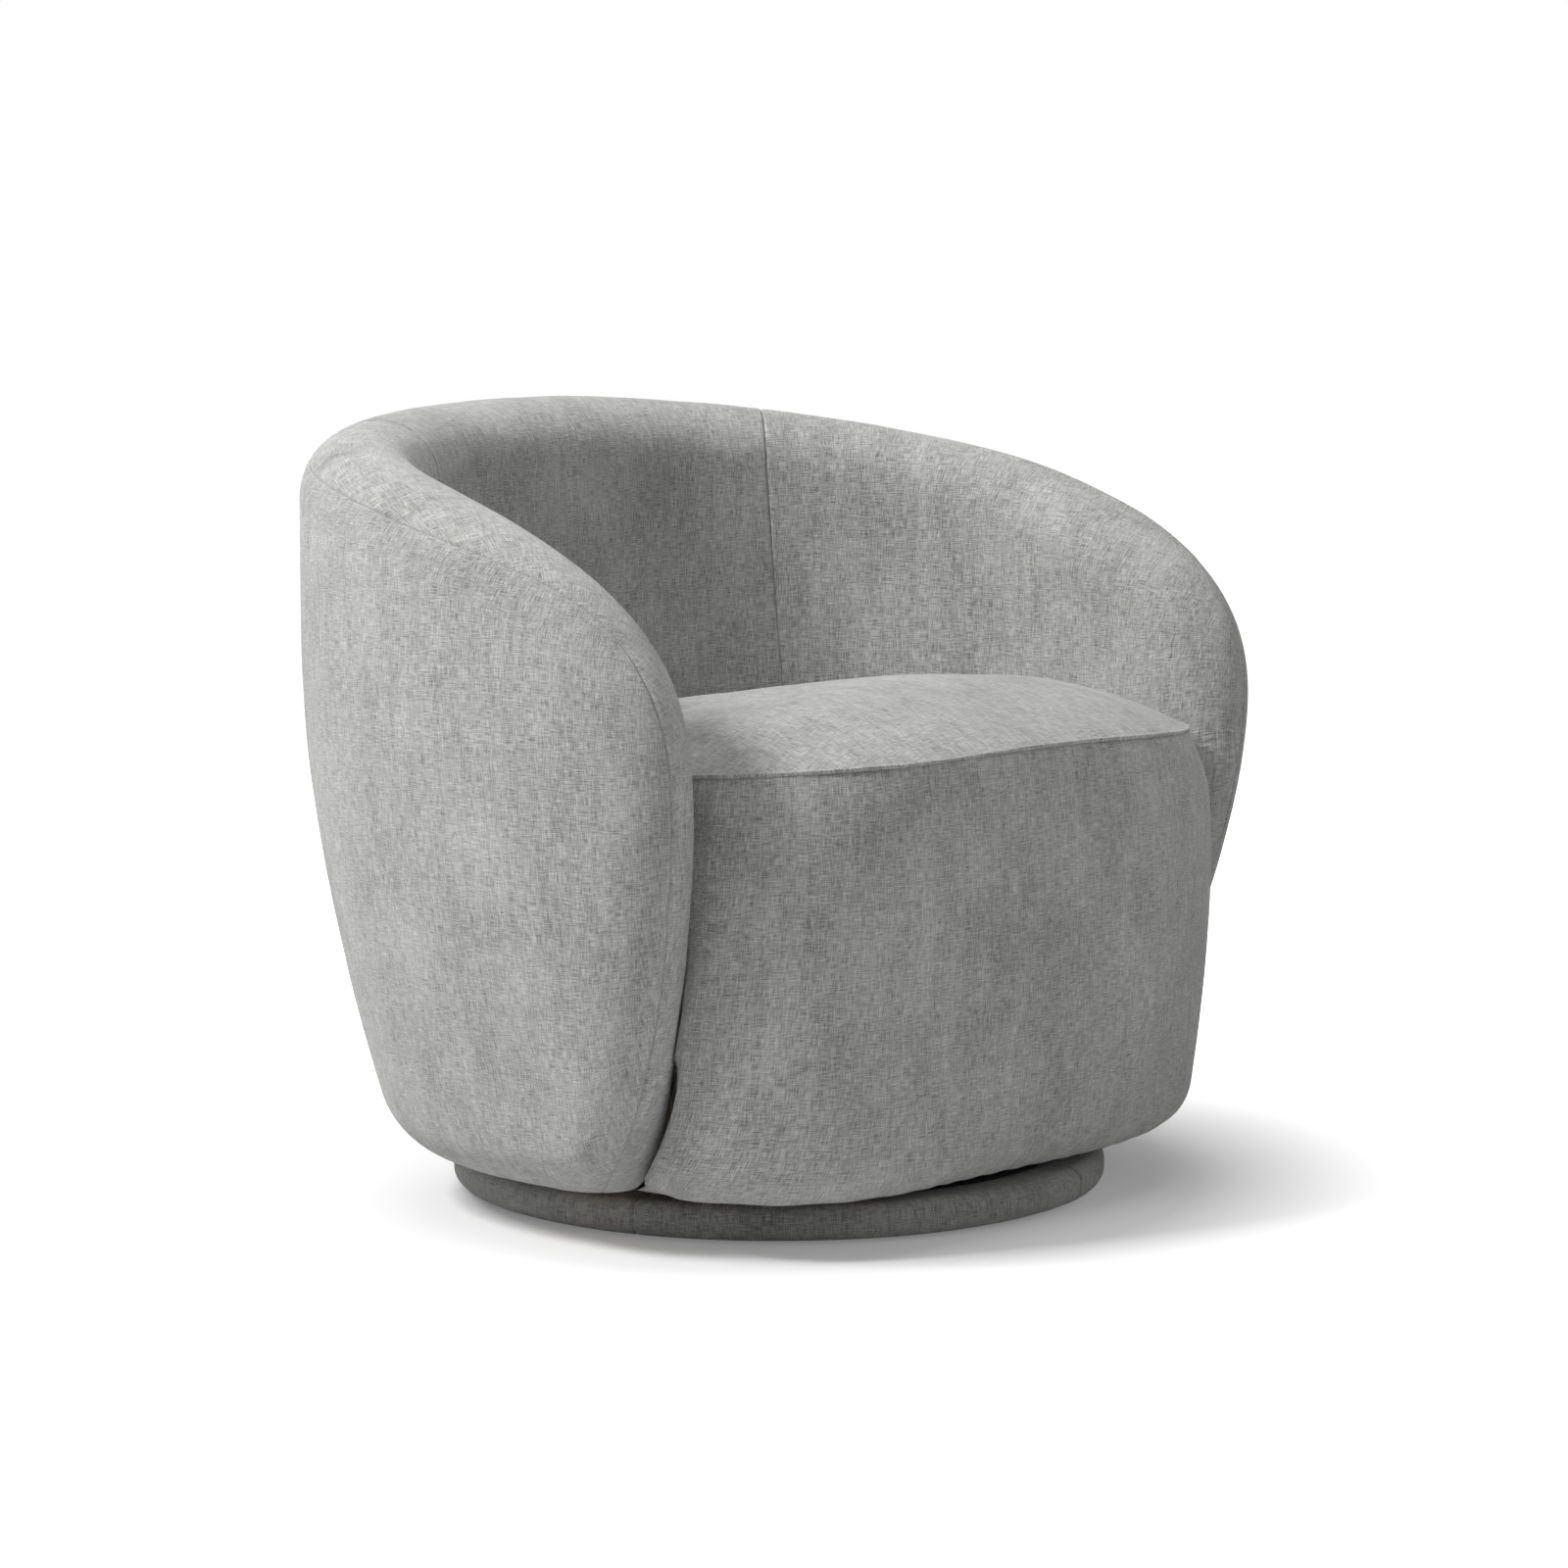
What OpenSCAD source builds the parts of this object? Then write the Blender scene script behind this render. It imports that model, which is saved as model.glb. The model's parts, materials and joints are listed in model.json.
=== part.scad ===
// Swivel club chair: an upholstered barrel shell and a tight seat on a low round plinth.
// Millimetres, +Z up. The front faces -Y, and +X is on the right of a person who looks at the front.
// The origin is on the floor, on the swivel axis.

/* [Shell outline] */
// Half width of the shell at the arms, where it is widest
shell_half_w = 463; // [450:1:475]
// Reach of the shell's plan curve behind its centre
shell_back_r = 394; // [385:1:404]
// Reach of the plan curve in front of its centre, if the arms met there
shell_front_r = 477; // [465:1:490]
// Power of the plan curve: 2 is an ellipse, more is squarer
plan_power = 2.35; // [2.25:0.01:2.45]
// Centre of the plan curve along Y, from the middle of the chair's box
plan_y = -43.5; // [-48.5:0.5:-38.5]
// Height of the back above the floor
top_z = 721; // [705:1:740]
// Height where the shell is widest
waist_z = 501; // [480:1:520]
// How far the arms are drawn in at the foot
foot_draw_in = 87; // [78:1:96]
// Power of that curve
foot_power = 1.72; // [1.5:0.02:1.9]
// Thickness of the upholstered wall
wall_t = 112; // [108:1:118]
// Width of the rounding under the wall
foot_round_w = 49; // [44:1:54]
// Height of the rounding under the wall
foot_round_h = 55; // [48:1:62]

/* [Arm ends] */
// Angle from the middle of the back to the front of an arm
nose_angle = 119; // [117:0.5:121]
// The same angle at the foot of the arm
nose_foot_angle = 109.6; // [108:0.1:111]
// Height where the arm end reaches furthest forward
nose_z = 385; // [370:1:398]
// Power of the arm end's curve below that height
nose_power = 1.72; // [1.5:0.02:1.9]
// Rounding at the foot of the arm end
nose_corner = 39; // [30:1:42]
// Power of the rim's slope across the shell
rim_across_power = 1.91; // [1.8:0.01:2.05]
// Power of the rim's slope in height
rim_height_power = 3.07; // [2.9:0.01:3.2]
// Radius at which the wall is unrolled flat
unroll_r = 340; // [335:1:345]

/* [Seat] */
// How far the seat's plan curve stays inside the shell's half width
seat_side_w = 100; // [93:1:108]
// Reach of the seat's plan curve in front of the shell's centre
seat_front_r = 307; // [298:1:318]
// Power of the seat's plan curve
seat_power = 3.33; // [3.1:0.01:3.5]
// Height of the seam along the seat's front edge
seam_z = 427; // [415:1:440]
// Crown of the seat above the seam
crown_h = 58; // [50:1:62]
// Power of the crown's curve
crown_power = 3; // [2.6:0.1:3.6]
// Drop of the seam at the sides of the seat
seam_drop = 13; // [8:1:18]
// Slope of the seat down towards the back, in height for each length
seat_slope = 0.15; // [0.1:0.005:0.17]
// Distance from the seat's front to where that slope starts
slope_front_in = 163; // [150:1:180]
// Height below which the front panel is drawn in
seat_waist_z = 275; // [255:1:295]
// How far the front panel is drawn in at its foot
seat_draw_in = 21; // [16:1:26]
// Power of that curve
seat_foot_power = 1.56; // [1.4:0.02:1.8]
// How far the seat is drawn in at the seam
seat_top_in = 9.5; // [6:0.5:14]
// Rounding under the front panel
front_round = 40.5; // [36:0.5:46]

/* [Upholstery] */
// Thickness of the cloth covers
cover_t = 2; // [1.5:0.1:2.2]
// Foam outside the wall's frame
outer_foam_t = 16; // [14:1:18]
// Foam inside the wall's frame
inner_foam_t = 36; // [34:1:38]
// Foam over the rim of the wall's frame
rim_foam_t = 28; // [25:1:30]
// Thickness of the front panel's foam and cloth together
front_pad_t = 44; // [43:1:50]
// Cloth folded under the board
hem_w = 20; // [14:1:24]
// Depth to which the seat's cloth is tucked in at the sides
tuck_h = 70; // [50:1:90]
// Seam allowance of the front seam
seam_allowance = 8; // [6:1:10]
// Height of the foam strip round the deck
edge_roll_h = 20; // [16:1:24]
// Width of the foam strip round the deck
edge_roll_w = 34; // [28:1:38]
// Thickness of the felt over the springs
felt_t = 4; // [3:0.5:5]

/* [Plinth and swivel] */
// Radius of the plinth over its cloth
plinth_r = 302; // [290:1:308]
// Height of the plinth's body
plinth_h = 32; // [31:1:36]
// Rounding of the plinth's edge
plinth_round = 13; // [10:1:14]
// Thickness of the plinth's lower ring
plinth_ring_t = 15; // [13:1:17]
// Width of the plinth's lower ring
plinth_ring_w = 78; // [72:1:84]
// Foam band round the plinth
plinth_pad_t = 14; // [13:1:16]
// Cloth folded over the plinth's two faces
plinth_hem_w = 46; // [40:1:50]
// Thickness of the plinth's cloth
plinth_cloth_t = 1.5; // [1:0.1:1.8]
// Number of glides
glide_count = 6; // [3:1:8]
// Radius of a glide
glide_r = 11; // [9:0.5:13]
// Height of a glide
glide_h = 3; // [2.5:0.1:4]
// Swivel axis along Y, from the middle of the chair's box
swivel_y = -15.5; // [-20:0.5:-8]
// Height of the swivel over both plates
swivel_h = 12; // [12:0.1:13]
// Thickness of a swivel plate
plate_t = 3; // [2.6:0.1:3.2]
// Side of the square swivel plates
plate_w = 290; // [285:1:300]
// Radius of the bearing's race
race_r = 115; // [108:1:120]
// Radius of a ball
ball_r = 3.5; // [3.4:0.05:3.6]
// Number of balls
ball_count = 30; // [24:2:36]
// Radius of the centre rivet
rivet_r = 6; // [5:0.1:7]

/* [Frame] */
// Thickness of the base board and the foot rail
board_t = 18; // [16:1:20]
// Width of the foot rail
foot_rail_w = 48; // [44:1:50]
// Thickness of a rib
rib_t = 18; // [15:1:20]
// Angle between ribs
rib_step = 23; // [21:0.5:23.5]
// Thickness of the top rail and the arm posts
rail_t = 18; // [16:1:20]
// Width of the top rail
rail_w = 36; // [32:1:38]
// Thickness of the bent panels
panel_t = 3; // [2:0.5:4]
// Height of the seat deck's top
deck_z = 300; // [290:1:310]
// Thickness of the seat deck and its upright panels
deck_t = 18; // [15:1:20]
// Share of the seat's half width that the spring opening takes
opening_share = 0.413; // [0.397:0.001:0.424]
// Distance from the seat's front curve to the spring opening
opening_front_in = 123; // [113:1:133]
// Distance from the outside of the back to the spring opening
opening_back_in = 268; // [263:1:278]
// Thickness of the front board
front_board_t = 12; // [10:1:14]
// Side of a glue block
block_w = 40; // [32:1:46]
// Number of springs
spring_count = 5; // [4:1:6]
// Room between the last spring and the side of the opening
spring_side_w = 13; // [8:1:20]
// Radius of the spring wire
wire_r = 1.9; // [1.6:0.1:2.2]
// Half width of a spring as a share of the distance between springs
spring_share = 0.362; // [0.28:0.002:0.4]
// Waves in a spring
spring_waves = 6; // [5:1:7]
// Radius of a wood screw
screw_r = 2.25; // [2:0.05:2.5]
// Length of a wood screw
screw_len = 35; // [30:1:35]

/* [Hidden] */
$fn = 64;

// Clearances and overruns
fit_gap = 0.3;
foam_gap = 0.2;
seat_gap = 5.5;
nose_gap = 8;
board_gap = 1.2;
rib_top_gap = 0.9;
facet_gap = 5;
running_gap = 0.05;
overrun = 5;
dust_t = 1;
tongue_gap = 14;

// Seat frame sizes that follow the shell
seat_half_w = shell_half_w - seat_side_w;
opening_half_w = seat_half_w * opening_share;
spring_step = (opening_half_w - spring_side_w) / ((spring_count - 1) / 2 + spring_share);
spring_half_w = spring_step * spring_share;
opening_front_y = plan_y - seat_front_r + opening_front_in;
opening_back_y = plan_y + shell_back_r - opening_back_in;

// Heights of the stack
plinth_top_z = glide_h + plinth_h;
board_z = plinth_top_z + swivel_h + dust_t;
body_z = board_z - cover_t;
board_top_z = board_z + board_t;
rail_top_z = board_top_z + board_t;
roll_top_z = deck_z + edge_roll_h;

// Colours
cloth_grey = "#85888a";
cloth_shade = "#6c6f70";
foam_cream = "#e3d9b4";
ply_tan = "#c9a673";
board_brown = "#a98a5c";
steel = "#b4b7ba";
dark_steel = "#70747a";
nylon_white = "#eeeeea";
felt_grey = "#9a958c";
cloth_black = "#2b2b2d";

// Shares of the wall's height at which its sheets have rows of points
foot_shares = [0, 0.035, 0.09, 0.36, 0.68];
inner_shares = [0.66, 0.33, 0];
// Angles of the rows round the rim, from the outside over the edge to the inside
rim_angles = [90, 60, 30, 0, -30, -60, -90];
// Share of the rim's length that the foot of the wall keeps, at the back and at the arm ends
foot_fan_share = 0.9;
foot_end_share = 0.94;
fan_start = 0.4;
// Stations across the top and down each arm end
top_stations = 15;
nose_shares = [0.3, 0.58, 0.8, 0.93, 1];
last_station = top_stations + len(nose_shares);
stations = [for (i = [-last_station:last_station]) station(i)];

// Rows of the shell's grid with a hem: hem, foot rows, rim rows, inner rows
row_rim_start = 1 + len(foot_shares);
row_shoulder = row_rim_start + 2;
row_last = row_rim_start + len(rim_angles) + len(inner_shares) - 1;
// Share of a row that the inside covers stay back from the shoulder seam
seam_ease = 0.02;
// Station of the seam between the inside back and an inside arm
seam_station = 4;
// Station where the top rail ends and an arm post starts
post_station = top_stations - 2;

// Depths of the wall's layers, from the outside of the cloth
cavity_in = wall_t - inner_foam_t;
board_edge = foot_round_w + cover_t + board_gap;
cavity_foot_w = foot_round_w + cover_t - outer_foam_t;
cavity_foot_h = foot_round_h + board_t;
rail_edge_inset = rim_foam_t * 1.4;

// Angles round the seat: close together where the seat passes the arm ends
front_step = 10;
corner_step = 6;
nose_step = 3;
side_step = 15;
seat_angles = concat(
    [for (a = [-180:front_step:-150]) a],
    [for (a = [-144:corner_step:-132]) a],
    [for (a = [-129:nose_step:-99]) a],
    [for (a = [-90:side_step:90]) a],
    [for (a = [99:nose_step:129]) a],
    [for (a = [132:corner_step:144]) a],
    [for (a = [150:front_step:170]) a]
);
side_end = 99;
front_end = 105;
swing_full = 117;
swing_end = 150;
front_angles = concat(
    [for (a = [front_end:nose_step:129]) a],
    [for (a = [132:corner_step:144]) a],
    [for (a = [150:front_step:210]) a],
    [for (a = [216:corner_step:228]) a],
    [for (a = [231:nose_step:255]) a]
);
// Shares of the seat's radius at the rings of its crown
crown_shares = [0.93, 0.78, 0.45];
// Shares of the front rounding's height at its rows
round_shares = [0, 0.06, 0.3, 1];

function station(i) =
    let(k = abs(i))
    sign(i) * (k <= top_stations ? k / top_stations : 1 + nose_shares[k - top_stations - 1]);

function unroll(angle) = angle * PI / 180 * unroll_r;
function turned(u) = u / unroll_r * 180 / PI;
function clamp_share(t) = max(0, min(1, t));

// Plan radius of the shell at an angle from the middle of the back
function plan_r(a) =
    let(across = abs(sin(a)) / shell_half_w)
    let(along = abs(cos(a)) / (cos(a) > 0 ? shell_back_r : shell_front_r))
    pow(pow(across, plan_power) + pow(along, plan_power), -1 / plan_power);

// Radius of the shell's outside at an angle and a height
function skin_r(a, z) =
    let(t = max(0, (waist_z - z) / (waist_z - body_z)))
    plan_r(a) * (1 - foot_draw_in / shell_half_w * pow(t, foot_power));

// Inset of a rounded edge that is w wide and h high, at height d above the edge
function edge_round(d, w, h) =
    let(t = clamp_share(1 - d / h))
    w * (1 - sqrt(1 - t * t));

// A point at unrolled length u, height z and depth below the outside of the cloth
function shell_point(u, z, depth) =
    let(a = turned(u), r = skin_r(a, z) - depth)
    [r * sin(a), r * cos(a) + plan_y, z];

// The rim's outline in unrolled length and height, drawn in by inset, with its feet at low_z
function arch(s, inset, low_z) =
    let(k = abs(s), f = 90 * min(k, 1), t = max(0, k - 1))
    let(reach = unroll(nose_angle) - inset)
    let(z_nose = nose_z - (nose_z - low_z) * t)
    let(back_off = unroll(nose_angle) - unroll(nose_foot_angle))
    let(corner = edge_round(z_nose - body_z, nose_corner, nose_corner))
    let(u_nose = reach - back_off * pow(t, nose_power) - corner)
    k <= 1
        ? [sign(s) * reach * pow(sin(f), 2 / rim_across_power),
           nose_z + (top_z - inset - nose_z) * pow(cos(f), 2 / rim_height_power)]
        : [sign(s) * u_nose, z_nose];

// Height of the rim's outline at an angle, drawn in by inset
function arch_z(a, inset) =
    let(q = pow(unroll(abs(a)) / (unroll(nose_angle) - inset), rim_across_power / 2))
    nose_z + (top_z - inset - nose_z) * pow(sqrt(max(0, 1 - q * q)), 2 / rim_height_power);

// Unrolled length, on the foot line, of the column that starts at a station of the rim
function foot_u(s, inset, low_z) =
    let(k = abs(s), t = max(0, (k - fan_start) / (2 - fan_start)))
    let(near = arch(min(k, fan_start), inset, low_z).x * foot_fan_share)
    sign(s) * (near + (arch(2, inset, low_z).x * foot_end_share - near) * t);

// A point of a sheet between the foot line and the rim, at a share of the height
function sheet_point(s, inset, low_z, f, outer, round_w, round_h) =
    let(p = arch(s, inset, low_z), foot = foot_u(s, inset, low_z), z = low_z + (p.y - low_z) * f)
    shell_point(foot + (p.x - foot) * f, z, outer + edge_round(z - low_z, round_w, round_h));

// One closed-over layer of the wall: rows from the outside foot over the rim to the inside foot
function layer(outer, inner, edge, low_out, low_in, round_w, round_h, hem) =
    let(half = (wall_t - outer - inner) / 2)
    concat(
        [[for (s = stations) sheet_point(s, edge + half, low_out, 0, outer + hem, round_w, round_h)]],
        [for (f = foot_shares)
            [for (s = stations) sheet_point(s, edge + half, low_out, f, outer, round_w, round_h)]],
        [for (r = rim_angles) [for (s = stations)
            let(low = low_in + (low_out - low_in) * (1 + sin(r)) / 2)
            let(p = arch(s, edge + half * (1 - cos(r)), low))
            let(d0 = outer + edge_round(p.y - low_out, round_w, round_h), d1 = wall_t - inner)
            shell_point(p.x, p.y, (d0 + d1) / 2 - (d1 - d0) / 2 * sin(r))]],
        [for (f = inner_shares)
            [for (s = stations) sheet_point(s, edge + half, low_in, f, wall_t - inner, 0, round_h)]]
    );

function skin_layer(depth, hem) =
    layer(depth, depth, depth, body_z + depth, rail_top_z + fit_gap, foot_round_w, foot_round_h, hem);
function cavity_layer(outer, inner) =
    layer(outer_foam_t + outer, inner_foam_t + inner, rim_foam_t, board_top_z, rail_top_z + fit_gap,
        cavity_foot_w, cavity_foot_h, 0);
// Rows whose first one is moved towards the second by a share of the way, to leave a seam open
function eased(rows, share) = [for (r = [0:len(rows) - 1])
    r > 0 ? rows[r] : [for (c = [0:len(rows[0]) - 1]) rows[0][c] + (rows[1][c] - rows[0][c]) * share]];
function cut(grid, r0, r1, c0, c1) = [for (r = [r0:r1]) [for (c = [c0:c1]) grid[r][c]]];

// Reach of the seat's plan curve, before it is clipped by the shell
function seat_curve(a, z) =
    let(t = clamp_share((seat_waist_z - z) / (seat_waist_z - body_z)))
    let(up = clamp_share((z - seat_waist_z) / (seam_z - seat_waist_z)))
    let(r = pow(pow(abs(sin(a)) / seat_half_w, seat_power) + pow(abs(cos(a)) / seat_front_r, seat_power),
        -1 / seat_power))
    r * (1 - seat_draw_in / seat_half_w * pow(t, seat_foot_power)) - seat_top_in * up * up;

// Unrolled length of the arm end's edge at a height
function nose_u(z) =
    let(t = clamp_share((nose_z - z) / (nose_z - body_z)), v = clamp_share((z - nose_z) / (top_z - nose_z)))
    z < nose_z
        ? unroll(nose_angle) - (unroll(nose_angle) - unroll(nose_foot_angle)) * pow(t, nose_power)
        : unroll(nose_angle) * pow(1 - pow(v, rim_height_power), 1 / rim_across_power);

// Reach of the seat inside the shell and round the arm ends
function shell_reach(a, z) =
    let(fold = a > 180 ? 360 - a : abs(a), half = wall_t / 2, r = skin_r(fold, z) - half)
    let(past = max(0, (unroll(fold) - (nose_u(z) - half)) * r / unroll_r / (half + nose_gap)))
    past > 1 ? 2 * shell_half_w : r - (half + seat_gap) * sqrt(1 - past * past);
function seat_reach(a, z, inset) = min(seat_curve(a, z), shell_reach(a, z)) - inset;
function seat_drop(a, z) = seam_drop * pow(sin(a) * (z - body_z) / (seam_z - body_z), 2);

// Columns near the arm ends swing back with them towards the foot
function swung(a, z) =
    let(fold = a > 180 ? 360 - a : abs(a), away = a > 180 || a < 0 ? 1 : -1)
    let(share = min(clamp_share((swing_end - fold) / (swing_end - nose_angle)),
        clamp_share((fold - front_end) / (swing_full - front_end))))
    a + away * share * max(0, nose_angle - turned(nose_u(min(z, nose_z))));
function flat_point(a, r, z) = [r * sin(a), r * cos(a) + plan_y, z];
function level_point(a, z, inset) = let(b = swung(a, z)) flat_point(b, seat_reach(b, z, inset), z);
function seat_point(a, z, inset) =
    let(b = swung(a, z))
    flat_point(b, seat_reach(b, z, inset), z - seat_drop(b, z));
function seat_ring(z, inset) = [for (a = seat_angles) seat_point(a, z, inset)];

// Reach of everything that stands inside the front panel's foam, the same at all heights
core_heights = [body_z, board_top_z, (board_top_z + deck_z) / 2, deck_z - deck_t, roll_top_z];
function core_r(a) = min([for (z = core_heights) seat_reach(a, z, 0)]) - front_pad_t;
// Reach of the deck: behind the front foam in front, up to the shell at the sides and the back
function deck_r(a) =
    abs(a) > side_end
        ? core_r(a) - fit_gap
        : min([for (z = core_heights) if (z > deck_z - deck_t - fit_gap) seat_reach(a, z, 0)]) - seat_gap;

// Height of the crown at a share of the seat's radius: the slope fades out towards the seam
slope_power = 4;
function crown_height(a, r, q) =
    seam_z + crown_h * (1 - pow(q, crown_power)) - seam_drop * pow(sin(a) * q, 2)
        - seat_slope * max(0, r * cos(a) + seat_front_r - slope_front_in) * (1 - pow(q, slope_power));
// A ring of the crown at a depth below the cloth
function crown_ring(q, depth) = [for (a = seat_angles)
    let(r = seat_reach(a, seam_z, depth) * q)
    [r * sin(a), r * cos(a) + plan_y, crown_height(a, r, q) - depth]];
function crown_top(depth) = [0, plan_y, crown_height(0, 0, 0) - depth];

// A row of the front panel's columns at one level height
function level_row(z, inset) = [for (a = front_angles) level_point(a, z, inset)];

// Corners of the quad at row r and column c of a grid with the given number of columns
function quad(cols, r, c, wrap) =
    let(d = wrap ? (c + 1) % cols : c + 1)
    [r * cols + c, r * cols + d, (r + 1) * cols + d, (r + 1) * cols + c];
function halves(q) = [[q[0], q[1], q[2]], [q[0], q[2], q[3]]];
function other_halves(q) = [[q[1], q[2], q[3]], [q[1], q[3], q[0]]];
// The right side is split along the other diagonal, so that the chair's two sides mirror each other
function mirrored_halves(q, x) = x > 0 ? other_halves(q) : halves(q);
function turned_over(t) = [t[2], t[1], t[0]];
function flat_list(grid) = [for (row = grid) each row];

// A sheet between two grids of the same size, closed round its four edges
module patch(outer, inner) {
    rows = len(outer);
    cols = len(outer[0]);
    n = rows * cols;
    rim = concat(
        [for (c = [0:cols - 2]) c],
        [for (r = [0:rows - 2]) r * cols + cols - 1],
        [for (c = [cols - 1:-1:1]) (rows - 1) * cols + c],
        [for (r = [rows - 1:-1:1]) r * cols]
    );
    points = concat(flat_list(outer), flat_list(inner));
    front = [for (r = [0:rows - 2]) for (c = [0:cols - 2])
        let(q = quad(cols, r, c, false))
        each mirrored_halves(q, points[q[0]].x + points[q[1]].x)];
    back = [for (t = front) turned_over([for (i = t) i + n])];
    edge = [for (i = [0:len(rim) - 1])
        let(p = rim[i], q = rim[(i + 1) % len(rim)])
        each mirrored_halves([q, p, p + n, q + n], points[p].x + points[q].x)];
    polyhedron(points = points, faces = concat(front, back, edge));
}

// A solid between two end points, through closed rings
module ringed_solid(rings, low_point, high_point) {
    cols = len(rings[0]);
    n = len(rings) * cols;
    side = [for (r = [0:len(rings) - 2]) for (c = [0:cols - 1]) each halves(quad(cols, r, c, true))];
    low = [for (c = [0:cols - 1]) [n, (c + 1) % cols, c]];
    high = [for (c = [0:cols - 1]) [n + 1, n - cols + c, n - cols + (c + 1) % cols]];
    polyhedron(points = concat(flat_list(rings), [low_point, high_point]), faces = concat(side, low, high));
}

// A cap of cloth: closed rings up to a top point, over the same rings further in
module ringed_cap(outer, outer_top, inner, inner_top) {
    cols = len(outer[0]);
    n = len(outer) * cols;
    m = n + 1;
    side = [for (r = [0:len(outer) - 2]) for (c = [0:cols - 1]) each halves(quad(cols, r, c, true))];
    top = [for (c = [0:cols - 1]) [n, n - cols + c, n - cols + (c + 1) % cols]];
    shell = concat(side, top);
    lining = [for (t = shell) turned_over([for (i = t) i + m])];
    edge = [for (c = [0:cols - 1])
        let(d = (c + 1) % cols)
        each halves([d, c, c + m, d + m])];
    points = concat(flat_list(outer), [outer_top], flat_list(inner), [inner_top]);
    polyhedron(points = points, faces = concat(shell, lining, edge));
}

// A bar swept through four-cornered rings, with flat ends
module swept_bar(rings) {
    cols = len(rings[0]);
    n = len(rings) * cols;
    side = [for (r = [0:len(rings) - 2]) for (c = [0:cols - 1]) each halves(quad(cols, r, c, true))];
    first = [for (c = [1:cols - 2]) [0, c + 1, c]];
    last = [for (c = [1:cols - 2]) [n - cols, n - cols + c, n - cols + c + 1]];
    polyhedron(points = flat_list(rings), faces = concat(side, first, last));
}

// A rectangle with rounded corners, from its lower left corner
module round_rect(w, h, r) {
    translate([r, 0]) square([w - 2 * r, h]);
    translate([0, r]) square([w, h - 2 * r]);
    for (x = [r, w - r]) for (y = [r, h - r]) translate([x, y]) circle(r = r);
}

module about_swivel() {
    translate([0, swivel_y, 0]) children();
}

// Places at equal angles on a circle about the swivel axis
module round_circle(count, r, start) {
    about_swivel() for (i = [0:count - 1])
        rotate([0, 0, start + i * 360 / count]) translate([r, 0, 0]) children();
}

// Corners of a square about the swivel axis
module at_corners(half) {
    about_swivel() for (x = [-half, half]) for (y = [-half, half]) translate([x, y, 0]) children();
}

// Plinth
plinth_ply_r = plinth_r - plinth_pad_t - plinth_cloth_t;
plinth_ply_z = glide_h + plinth_cloth_t;
plinth_split_z = plinth_ply_z + plinth_ring_t;
plinth_hem_r = plinth_r - plinth_hem_w;
glide_circle_r = plinth_hem_r + glide_r + fit_gap;
glide_turn = 0;
nail_r = glide_r / 8;
nail_len = plinth_ring_t * 0.8;
screw_head_r = 2 * screw_r;
screw_head_h = 1.2 * screw_r;
ring_screw_r = plinth_ply_r - plinth_ring_w + 2 * screw_head_r;
ring_screw_len = plinth_h * 0.7;
deck_screw_count = 8;
bolt_r = 3;
bolt_head_r = 6;
bolt_head_h = 2.5;
nut_r = 7;
nut_h = 5;
lower_bolt_half = plate_w / 2 - 3 * bolt_head_r;
upper_bolt_half = plate_w / 2 - 7 * bolt_head_r;
rivet_head_r = 1.7 * rivet_r;
rivet_head_h = 2.5;
rivet_room = 2;
rivet_room_r = rivet_head_r + rivet_room;

module plinth_glides() {
    color(nylon_white) round_circle(glide_count, glide_circle_r, glide_turn) {
        cylinder(r = glide_r, h = glide_h);
        translate([0, 0, glide_h]) cylinder(r = nail_r, h = nail_len);
    }
}

module nail_holes() {
    round_circle(glide_count, glide_circle_r, glide_turn) cylinder(r = nail_r, h = glide_h + nail_len);
}

module plinth_ring() {
    color(ply_tan) difference() {
        translate([0, swivel_y, plinth_ply_z]) cylinder(r = plinth_ply_r, h = plinth_ring_t, $fn = 96);
        translate([0, swivel_y, plinth_ply_z - overrun])
            cylinder(r = plinth_ply_r - plinth_ring_w, h = plinth_ring_t + 2 * overrun, $fn = 96);
        nail_holes();
        plinth_screw_shanks();
    }
}

module plinth_deck() {
    color(ply_tan) difference() {
        union() {
            translate([0, swivel_y, plinth_split_z])
                cylinder(r = plinth_ply_r, h = plinth_top_z - plinth_cloth_t - plinth_split_z, $fn = 96);
            translate([0, swivel_y, plinth_split_z])
                cylinder(r = plinth_hem_r - fit_gap, h = plinth_top_z - plinth_split_z, $fn = 96);
        }
        plinth_screw_shanks();
        at_corners(lower_bolt_half) cylinder(r = bolt_r, h = board_z);
        about_swivel() cylinder(r = rivet_room_r, h = board_z);
    }
}

// Countersunk wood screw with the top of its head at the origin
module wood_screw(length) {
    translate([0, 0, -length]) cylinder(r = screw_r, h = length);
    translate([0, 0, -screw_head_h]) cylinder(r1 = screw_r, r2 = screw_head_r, h = screw_head_h);
}

module plinth_screw_shanks() {
    round_circle(deck_screw_count, ring_screw_r, 0)
        translate([0, 0, plinth_top_z]) wood_screw(ring_screw_len);
}

module plinth_screws() {
    color(steel) plinth_screw_shanks();
}

// Section of the plinth's edge, drawn in by inset
module plinth_edge(inset) {
    translate([0, glide_h + inset])
        round_rect(plinth_r - inset, plinth_h - 2 * inset, plinth_round - inset);
}

module plinth_padding() {
    color(foam_cream) about_swivel() rotate_extrude($fn = 96) difference() {
        plinth_edge(plinth_cloth_t);
        square([plinth_ply_r, board_z]);
    }
}

module plinth_cover() {
    color(cloth_shade) difference() {
        about_swivel() rotate_extrude($fn = 96) difference() {
            plinth_edge(0);
            plinth_edge(plinth_cloth_t);
            square([plinth_hem_r, board_z]);
        }
        nail_holes();
    }
}

// Swivel
module race_groove() {
    translate([0, swivel_y, plinth_top_z + swivel_h / 2])
        rotate_extrude($fn = 96) translate([race_r, 0]) circle(r = ball_r + running_gap, $fn = 32);
}

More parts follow.
